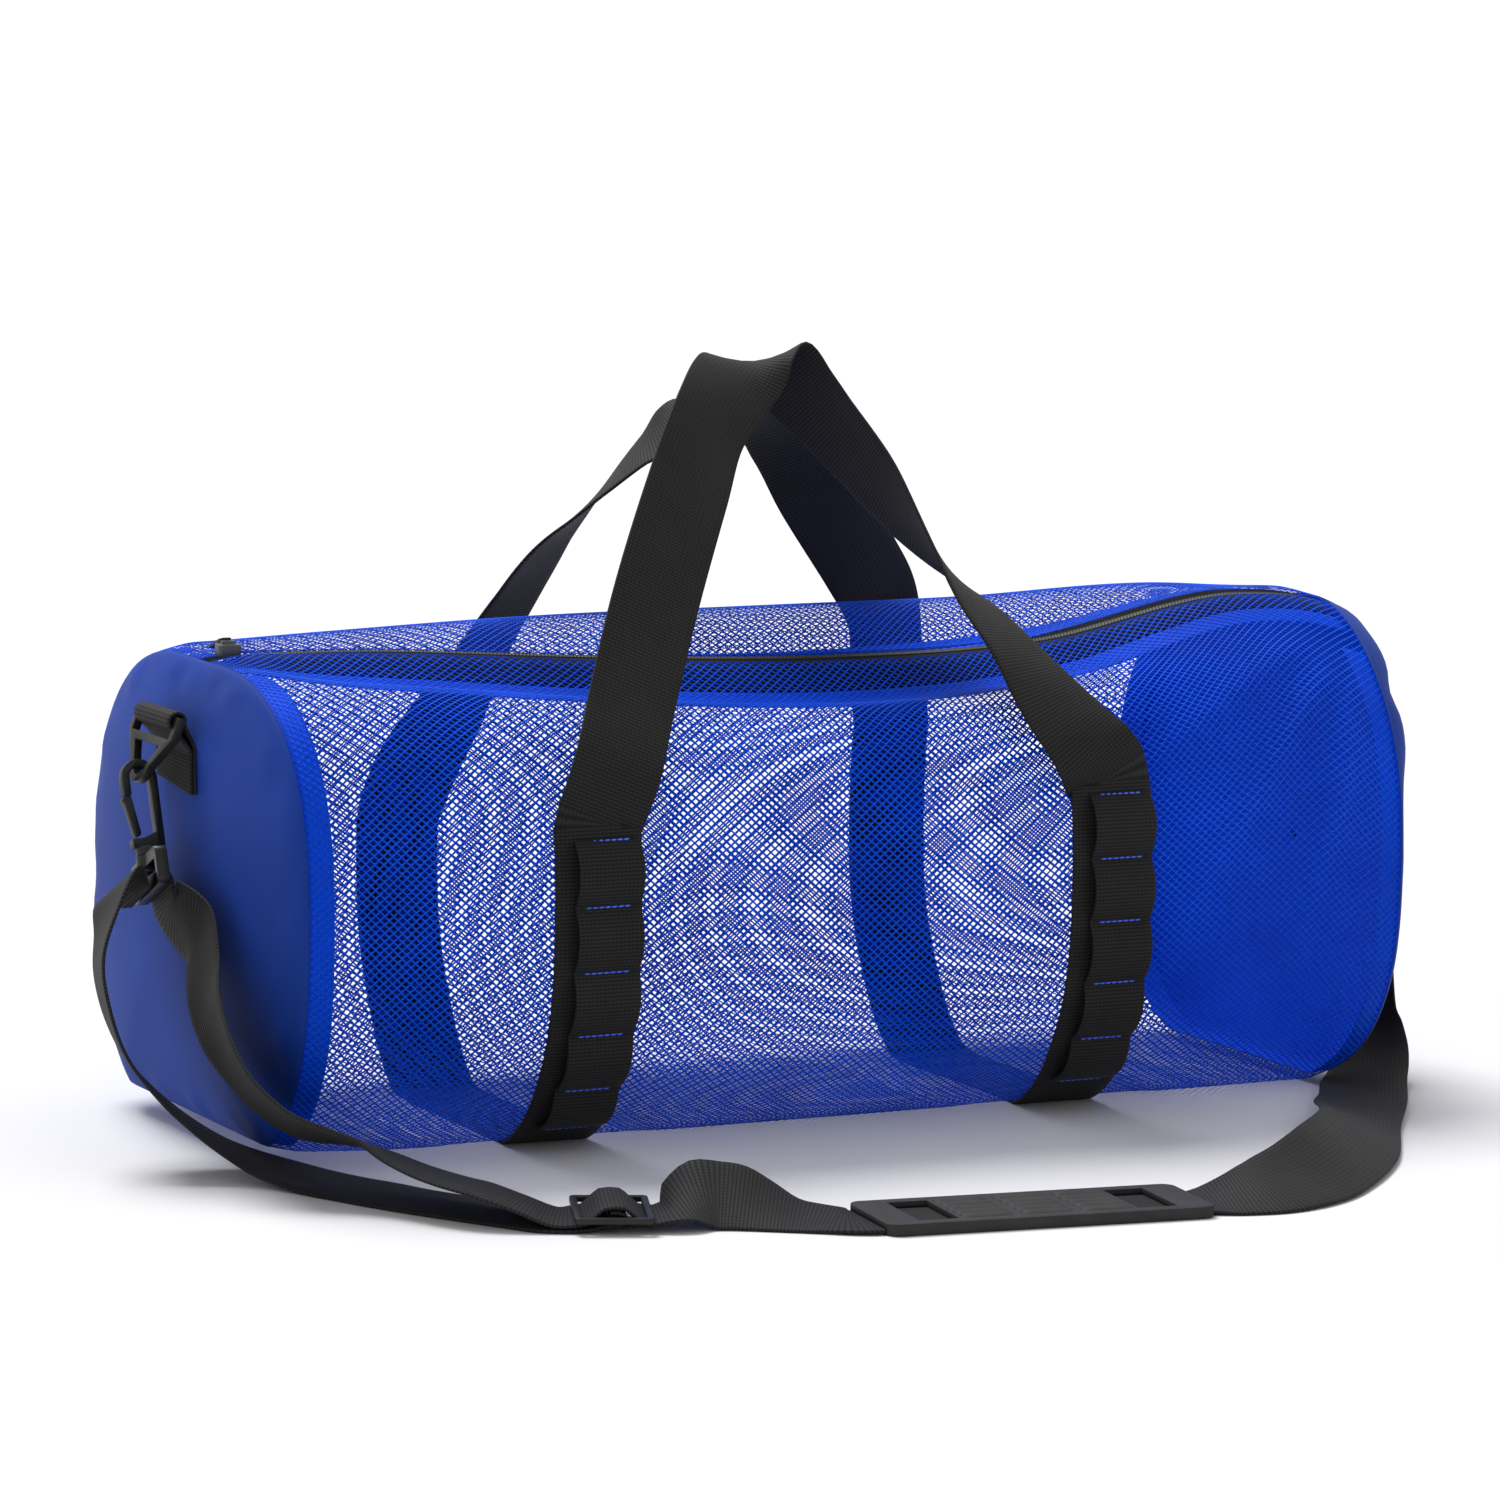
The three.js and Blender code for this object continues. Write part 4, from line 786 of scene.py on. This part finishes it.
def sewnLeg(leg, side, turn):
    # rows down the skin from the top of the sewing, which stands off a little, to the middle of the bottom
    start = angleAtHeight(leg["x"], leg["top"], side)
    down = np.linspace(0, 1, sewn["steps"] + 1)
    angle = start + (side * math.pi - start) * down
    inward = smoothstep(np.abs(angle), *np.radians(sewn["turnIn"]))
    x = leg["x"] + (leg["under"] - leg["x"]) * inward
    lift = sewn["topLift"] * np.maximum(1 - down / sewn["topShare"], 0)
    seat = web["seat"] + lift + web["thick"] / 2
    left, right = (offSkin(x + e * web["width"] / 2, angle, seat) for e in (-1, 1))
    at = (left + right) / 2
    at[-1, 1] = -side * web["gap"]
    at[:, 2] = np.maximum(at[:, 2], web["thick"] / 2 + web["floorRoom"])
    return pathRows(at, side * turn * unit(right - left), 1)


def handleMesh(name, side, free):
    left = sewnLeg(legs[name + "Left"], side, 1)[::-1]
    right = sewnLeg(legs[name + "Right"], side, -1)
    rows = np.vstack([left, between(left[-1], free, right[0], web["spacing"]), right])
    return ribbon(name, *squared(rows))


for side, name, free in ((1, "front", frontHandle), (-1, "back", backHandle)):
    addPiece(name + "_handle_web", handleMesh(name, side, free), "web", [name + "_handle"])
print("handles made")


# looped strips on the front legs, and their blue sewing

loops = {
    "width": 38.0, "thick": 1.5, "pitch": 35.0, "bulges": [6.6, 6.2, 5.8, 5.4, 5.0], "perLoop": 24,
    "sideways": 4.0, "stitch": 3.4, "stitchGap": 0.3, "stitchHalf": 0.6, "barHalf": 13.0,
    "stitchLift": 0.2, "stitchSlope": 0.06, "seat": 1.0, "firstRise": 0.4, "flatten": 0.8, "edge": 0.6,
}
loopTops = {"left": ("frontLeft", 174), "right": ("frontRight", 184)}


def loopRows(leg, top):
    # path down the leg; between seams it stands off the leg by a bulge times a flattened sine
    x = legs[leg]["x"] + loops["sideways"]
    base = loops["seat"] + web["thick"] + loops["thick"] / 2
    fan = angleAtHeight(x, top, 1) + np.linspace(0, 1.9, 6000)
    lengths = lengthsAlong(offSkin(x, fan, base))
    count = len(loops["bulges"]) * loops["perLoop"]
    step = np.arange(count + 1)
    angle = np.interp(step * loops["pitch"] / loops["perLoop"], lengths, fan)
    bulge = np.append(np.repeat(loops["bulges"], loops["perLoop"]), 0)
    rise = bulge * np.abs(np.sin(math.pi * step / loops["perLoop"])) ** loops["flatten"]
    rise[0] = loops["firstRise"]
    at = offSkin(x, angle, base + rise)
    return at, np.tile([1.0, 0.0, 0.0], (len(at), 1)), angle, base, x


bead = {"rings": 6, "around": 8, "blunt": 0.35}


def stitches(name, middles, ahead, up, length, half):
    # each stitch is a long bead: a circle whose radius follows a sine from end to end
    rings, around = bead["rings"], bead["around"]
    theta = np.linspace(bead["blunt"], math.pi - bead["blunt"], rings)
    phi = np.linspace(0, 2 * math.pi, around, endpoint=False)
    side = np.cross(ahead, up)
    ring = np.sin(theta)[:, None, None] * (np.cos(phi)[None, :, None] * side[:, None, None, :]
                                           + np.sin(phi)[None, :, None] * up[:, None, None, :]) * half
    run = -np.cos(theta)[None, :, None, None] * ahead[:, None, None, :] * length / 2
    points = (middles[:, None, None, :] + ring + run).reshape(-1, 3)
    offset = (np.arange(len(middles)) * rings * around)[:, None, None]
    faces = [(f[None] + offset).reshape(-1, f.shape[1]) for f in tubeFaces(rings, around)]
    return meshFrom(name, points, outwardFaces(points, faces))


for name, (leg, top) in loopTops.items():
    at, across, angle, base, x = loopRows(leg, top)
    strip = ribbon(name, at, across, loops["width"], loops["thick"], loops["edge"])
    addPiece(name + "_loop_web", strip, "web", [name + "_loop_strip"])
    seams = angle[:: loops["perLoop"]]
    pitch = loops["stitch"] + loops["stitchGap"]
    spots = np.arange(-loops["barHalf"] + pitch / 2, loops["barHalf"], pitch)
    gridX, gridAngle = (g.ravel() for g in np.meshgrid(x + spots, seams, indexing="ij"))
    low, high = (offSkin(gridX, gridAngle, base + loops["thick"] / 2 + up) for up in (0, 1))
    ahead = np.tile(unit(np.array([1.0, 0.0, loops["stitchSlope"]])), (len(low), 1))
    spot = low + (high - low) * loops["stitchLift"]
    sewing = stitches(name, spot, ahead, unit(high - low), loops["stitch"], loops["stitchHalf"])
    addPiece(name + "_loop_sewing", sewing, "thread")
print("loop strips made")


# end fittings: moulded pieces take the solids' shapes with softened edges

fitting = {
    "tabLength": 35.0, "tabSeat": 0.1, "barOut": 13.5, "barHeight": 231.0, "barShift": -10.0,
    "tabShift": 10.0, "tabTurn": 6.0, "tabStart": 14, "tabBack": 16, "tabSpacing": 1.5,
    "ringBar": 2.4, "ringThick": 4.4, "ringTilt": 21.0, "ringDepth": 37.0, "ringRim": 4.2,
    "lean": {"left": 21.0, "right": 16.0}, "swivel": {"left": -8.0, "right": 0.0},
    "hang": {"left": -0.5, "right": 0.0},
    "loopThick": 6.4, "loopBar": 4.8, "loopBarMiddle": -61.0,
}


def moulded(name, node, finish, soften, body="root"):
    # copy of a solid with its flat faces joined and its edges rounded
    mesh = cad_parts[node].data.copy()
    mesh.name = name
    work = bmesh.new()
    work.from_mesh(mesh)
    bmesh.ops.remove_doubles(work, verts=work.verts, dist=2e-6)
    bmesh.ops.dissolve_limit(work, angle_limit=math.radians(1), verts=work.verts, edges=work.edges)
    work.to_mesh(mesh)
    work.free()
    mesh.polygons.foreach_set("use_smooth", np.ones(len(mesh.polygons), bool))
    piece = addPiece(name, mesh, finish, [node], body)
    edges = piece.modifiers.new("softEdges", "BEVEL")
    edges.width, edges.segments, edges.limit_method = soften * 0.001, 2, "ANGLE"
    edges.angle_limit = math.radians(35)
    edges.harden_normals = True
    return piece


def panelOut(side, y, z):
    # x of the end panel's face at a place across and up the end
    end = endAt(side)
    centre = middleOf(end)
    dy, dz = y - centre[1], z - centre[2]
    reach = math.hypot(dy, dz) / np.linalg.norm(skin(end, math.atan2(-dy, dz)) - centre)
    return end + side * (panel["gap"] + panelRise(np.minimum(reach, 1.0)))


def endFrame(side):
    out = panelOut(side, fitting["barShift"], fitting["barHeight"])
    return shifted(out, fitting["barShift"], fitting["barHeight"]) @ turned("Z", 180 if side < 0 else 0)


def hookFrame(side, name):
    noseMiddle = fitting["ringDepth"] - fitting["ringRim"] / 2
    tilt = math.radians(fitting["ringTilt"])
    hung = shifted(fitting["barOut"] + noseMiddle * math.sin(tilt), 0,
                   -noseMiddle * math.cos(tilt) - fitting["hang"][name])
    leaning = endFrame(side) @ hung @ turned("X", -side * fitting["lean"][name])
    return leaning @ turned("Z", fitting["swivel"][name])


def tabMesh(name, side):
    # folded tab: up the panel, round the ring's bar and down over itself
    inner = web["gap"] + fitting["tabSeat"] + web["thick"] / 2
    outer = inner + web["thick"] + web["gap"]
    wrap = math.hypot(fitting["ringThick"] / 2, fitting["ringBar"]) + web["barRoom"] + web["thick"] / 2
    length, matrix = fitting["tabLength"], endFrame(side)
    low = panelOut(side, fitting["barShift"], fitting["barHeight"] - length)
    slope = abs(low - matrix[0, 3]) / length
    turn = np.radians(200 - 30 * np.arange(10))
    start, back = fitting["tabStart"], fitting["tabBack"]
    before, after = np.array([length, length * 0.6, start]), np.array([back, length * 0.6, length])
    overBar = fitting["barOut"] + wrap * np.cos(turn)
    out = np.concatenate([inner + slope * before, overBar, outer + slope * after])
    up = np.concatenate([-before, wrap * np.sin(turn), -after])
    skew = np.maximum(-up - start, 0) / (length - start)
    lean = -np.radians(fitting["tabTurn"]) * skew
    at = place(matrix, np.stack([out, fitting["tabShift"] * skew, up], -1))
    across = np.stack([np.zeros_like(lean), np.cos(lean), np.sin(lean)], -1) @ matrix[:3, :3].T
    at, across = spline(at, across, fitting["tabSpacing"])
    return ribbon(name, at, across)


for side, name in ends:
    addPiece(name + "_tab_web", tabMesh(name, side), "web", [name + "_end_tab"])
    for part, node, soften in (("ring", "end_ring", 1.1), ("hook", "hook", 0.9), ("gate", "hook_gate", 0.6),
                               ("loop", "hook_loop", 1.2)):
        body = name + "_gate" if part == "gate" else "root"
        moulded(f"{name}_{part}_moulded", f"{name}_{node}", "plastic", soften, body)
moulded("zip_slider_body", "zip_slider", "slider", 0.5)
moulded("zip_pull_tab", "zip_pull", "plastic", 0.5)
moulded("strap_slider_moulded", "strap_slider", "plastic", 0.8)
print("fittings made")


# shoulder strap, from the right hook round the floor to the left hook and back to the slider

slider = {"x": -219, "y": -285, "turn": -22.0}
pad = {"x": -11, "y": -348, "turn": -7.0, "length": 180.0, "strapLevel": 2.1, "top": 6.4,
       "tail": 4.0, "ribPanels": (-33.0, 0.0, 33.0), "panelLength": 29.0, "panelWidth": 47.0, "ribs": 5,
       "ribHeight": 1.5, "ribSink": 0.15, "ribRoot": 0.5}
rightRise = [
    (381, -46, 80, -0.13, 0.99, -0.09), (377, -52, 55, -0.15, 0.98, -0.1),
    (372, -62, 30, -0.2, 0.97, -0.12), (360, -85, 12, -0.35, 0.93, -0.15),
    (339, -114, 6, -0.5, 0.85, -0.08), (309, -160, 6, -0.56, 0.83, 0.02),
    (268, -218, 10, -0.58, 0.78, 0.22), (221, -292, 15, -0.5, 0.72, 0.48),
    (174, -342, 16, -0.38, 0.72, 0.56), (146, -361, 13, -0.3, 0.8, 0.45), (115, -370, 9, -0.14, 0.93, 0.3),
    (97, -366, 5, -0.02, 0.98, 0.12),
]
strapHump = [
    (-132, -318, 4, 0.3, 0.9, 0.15), (-156, -306, 10, 0.25, 0.8, 0.5), (-176, -299, 15, 0.25, 0.8, 0.5),
    (-188, -297, 11, 0.3, 0.88, 0.25),
]
runToHook = [
    (-274, -254, 15, 0.5, 0.86, -0.05), (-289, -228, 19, 0.5, 0.86, -0.08),
    (-299, -208, 23, 0.48, 0.87, -0.1), (-311, -192, 30, 0.44, 0.88, -0.2),
    (-323, -180, 33, 0.42, 0.86, -0.29), (-342, -166, 38, 0.33, 0.87, -0.37),
    (-356, -150, 50, 0.25, 0.89, -0.37), (-364, -130, 68, 0.2, 0.92, -0.32),
    (-366, -110, 85, 0.1, 0.95, -0.3), (-363, -92, 103, 0.03, 0.96, -0.27),
    (-359, -74, 121, 0.02, 0.95, -0.3),
]
runFromHook = [
    (-388, -34, 146, 0, 0.9, -0.44), (-399, -44, 127, 0.1, 0.9, -0.4), (-405, -50, 106, 0.25, 0.92, -0.3),
    (-403, -58, 82, 0.3, 0.92, -0.25), (-395, -68, 58, 0.4, 0.85, -0.3), (-380, -80, 38, 0.6, 0.7, -0.4),
    (-357, -96, 18, 0.8, 0.45, -0.35), (-333, -118, 6, 0.93, 0.35, -0.12), (-312, -154, 1.3, 0.93, 0.36, 0),
    (-287, -206, 1.3, 0.88, 0.47, 0), (-262, -248, 1.3, 0.75, 0.65, 0),
]
# through the slider: distance along it and height, over its middle bar and then round it
overBar = [(27, 6), (18, 4.3), (14.5, 5.2), (10, 9), (5, 13), (0, 13.4), (-5, 12.8), (-10, 8.4), (-14, 4.9),
           (-18, 4.3), (-28, 3.6)]
roundBar = [(-28, 1.2), (-18, 1.4), (-10, 2.4), (-3, 4.2), (1.5, 4.3), (5, 5.2), (6, 7.5), (5, 9.8),
            (1.5, 10.7), (-2, 10.6)]


def floorRows(spot, alongHeight):
    # rows along the floor in a turned frame, from distance along and height
    along, height = np.array(alongHeight, float).T
    c, s = math.cos(math.radians(spot["turn"])), math.sin(math.radians(spot["turn"]))
    at = np.stack([spot["x"] + along * c, spot["y"] + along * s, height], -1)
    return pathRows(at, [-s, c, 0], 0)


def hookRows(side, name, outUp):
    # rows in a hook's frame, from distance out of the end and height over the hook's arch
    out, up = np.array(outUp, float).T
    matrix = hookFrame(side, name)
    at = place(matrix, np.stack([out, 0 * out, up], -1))
    return pathRows(at, matrix[:3, 1] * side, 1)


def clearOfFloor(at, across):
    # lifted where the webbing's lower edge would go under the floor
    lowest = np.abs(across[:, 2]) * web["width"] / 2 + web["thick"] / 2 + web["floorRoom"]
    return np.column_stack([at[:, :2], np.maximum(at[:, 2], lowest)])


def strapMesh(name):
    bar = fitting["loopBarMiddle"]
    radius = math.hypot(fitting["loopThick"], fitting["loopBar"]) / 2 + web["barRoom"] + web["thick"] / 2

    def wrap(degrees):
        turns = np.radians(degrees)
        return list(zip(radius * np.cos(turns), bar + radius * np.sin(turns)))

    rightEnd = hookRows(1, "right", [(-3.4, bar - 32), (-3.4, bar - 19), (-5.2, bar - 8),
                                     *wrap((180, 145, 110, 70, 35, 0)),
                                     (5.2, bar - 8), (-0.4, bar - 19), (-0.6, bar - 32)])
    half = pad["length"] / 2 + pad["tail"]
    padRun = floorRows(pad, [(along, pad["strapLevel"]) for along in np.linspace(half, -half, 9)])
    over = floorRows(slider, overBar)
    leftWrap = hookRows(-1, "left", [(-6.2, bar - 9), *wrap((175, 140, 105, 70, 40)), (7, bar - 3)])
    tail = floorRows(slider, roundBar)
    rows = np.vstack([
        rightEnd, between(rightEnd[-1], rightRise, padRun[0], 20), padRun,
        between(padRun[-1], strapHump, over[0], 12), over, between(over[-1], runToHook, leftWrap[0], 18),
        leftWrap, between(leftWrap[-1], runFromHook, tail[0], 20), tail,
    ])
    at, across = squared(rows)
    at, across = spline(clearOfFloor(at, across), across, web["spacing"])
    return ribbon(name, clearOfFloor(at, across), across)


addPiece("shoulder_strap_web", strapMesh("shoulderStrap"), "web", ["shoulder_strap"])
print("strap made")


# shoulder pad: moulded slab with ribbed panels on its middle

padPiece = moulded("pad_moulded", "shoulder_pad", "pad", 1.0)


def padRibs(name, spot):
    # a panel is a height map: ribs along the pad are rounded sines across it, falling off at the edges
    a = np.linspace(-1, 1, 17)[:, None]
    b = np.linspace(-1, 1, 8 * pad["ribs"] + 1)[None, :]
    rib = np.abs(np.sin(math.pi * pad["ribs"] * (b + 1) / 2)) ** 0.7
    fall = (1 - np.abs(a) ** 10) * (1 - np.abs(b) ** 24)
    top = pad["top"] - pad["ribSink"] + pad["ribHeight"] * rib * fall
    along = spot + a * pad["panelLength"] / 2 + 0 * b
    across = b * pad["panelWidth"] / 2 + 0 * a
    turn = math.radians(pad["turn"])
    x = pad["x"] + along * math.cos(turn) - across * math.sin(turn)
    y = pad["y"] + along * math.sin(turn) + across * math.cos(turn)
    root = np.full(top.shape, pad["top"] - pad["ribRoot"])
    return slab(name, np.stack([x, y, top], -1), np.stack([x, y, root], -1))


for number, spot in enumerate(pad["ribPanels"], 1):
    addPiece(f"pad_ribs_{number}", padRibs("padRibs", spot), "pad")
print("pad made")


# floor, light and camera

studio = {"floor": {"deep": (208, 208, 210), "bright": (211, 211, 213)}, "floorReach": 300000.0,
          "speck": 300.0, "sky": 0.7, "sun": 3.5, "sunSpread": 30.0, "sunFrom": (-0.15, 0.75, 1.4)}


def floorPlane():
    material, tree, shader = startFinish("paleFloor")
    speck = cloud(tree, objectSpace(tree), studio["speck"])
    settle(tree, shader, {
        "Base Color": tint(tree, speck, studio["floor"]), "Roughness": 0.9, "Specular IOR Level": 0.1,
    })
    far = studio["floorReach"]
    points = np.array([[-far, -far, 0], [far, -far, 0], [far, far, 0], [-far, far, 0]])
    mesh = meshFrom("floor", points, [np.array([[0, 1, 2, 3]])])
    mesh.materials.append(material)
    floor = linked("floor", mesh)


def studioLight():
    # white sky, and a wide, even sun from behind and above
    data = bpy.data.lights.new("softSun", "SUN")
    data.energy, data.angle = studio["sun"], math.radians(studio["sunSpread"])
    light = linked("softSun", data)
    light.rotation_mode = "QUATERNION"
    light.rotation_quaternion = (-Vector(studio["sunFrom"])).to_track_quat("-Z", "Y")
    world = bpy.data.worlds.new("studio")
    scene.world = world
    world.use_nodes = True
    tree = world.node_tree
    settle(tree, tree.nodes["Background"], {"Color": (1, 1, 1, 1), "Strength": studio["sky"]})
    scene.view_settings.view_transform = "Standard"
    scene.view_settings.look = "None"


# camera: the point on the bag's middle line 130 mm up lies at this pixel of a 1500 pixel picture
shot = {"azimuth": -27.0, "elevation": 8.5, "roll": 1.0, "focal": 6000.0, "distance": 3.36,
        "target": (0.0, 0.0, 0.13), "pixel": (748.0, 868.0), "picture": 1500.0}


def photoCamera():
    a, e, r = (math.radians(shot[k]) for k in ("azimuth", "elevation", "roll"))
    back = np.array([math.sin(a) * math.cos(e), -math.cos(a) * math.cos(e), math.sin(e)])
    right = np.array([math.cos(a), math.sin(a), 0.0])
    up = np.cross(back, right)
    right, up = right * math.cos(r) + up * math.sin(r), up * math.cos(r) - right * math.sin(r)
    spot = np.array(shot["target"]) + back * shot["distance"]
    middle = shot["picture"] / 2
    offX, offY = (shot["pixel"][0] - middle) / shot["focal"], (shot["pixel"][1] - middle) / shot["focal"]
    ahead = unit(-back - right * offX + up * offY)
    up = unit(up - ahead * (up @ ahead))
    right = np.cross(ahead, up)
    data = bpy.data.cameras.new("photoCamera")
    data.sensor_width = 36.0
    data.lens = shot["focal"] / shot["picture"] * 36.0
    data.clip_end = 1000.0
    camera = linked("photoCamera", data)
    basis = np.eye(4)
    basis[:3, 0], basis[:3, 1], basis[:3, 2], basis[:3, 3] = right, up, -ahead, spot
    camera.matrix_world = Matrix(basis.tolist())
    scene.camera = camera


floorPlane()
studioLight()
photoCamera()

print("scene ready")
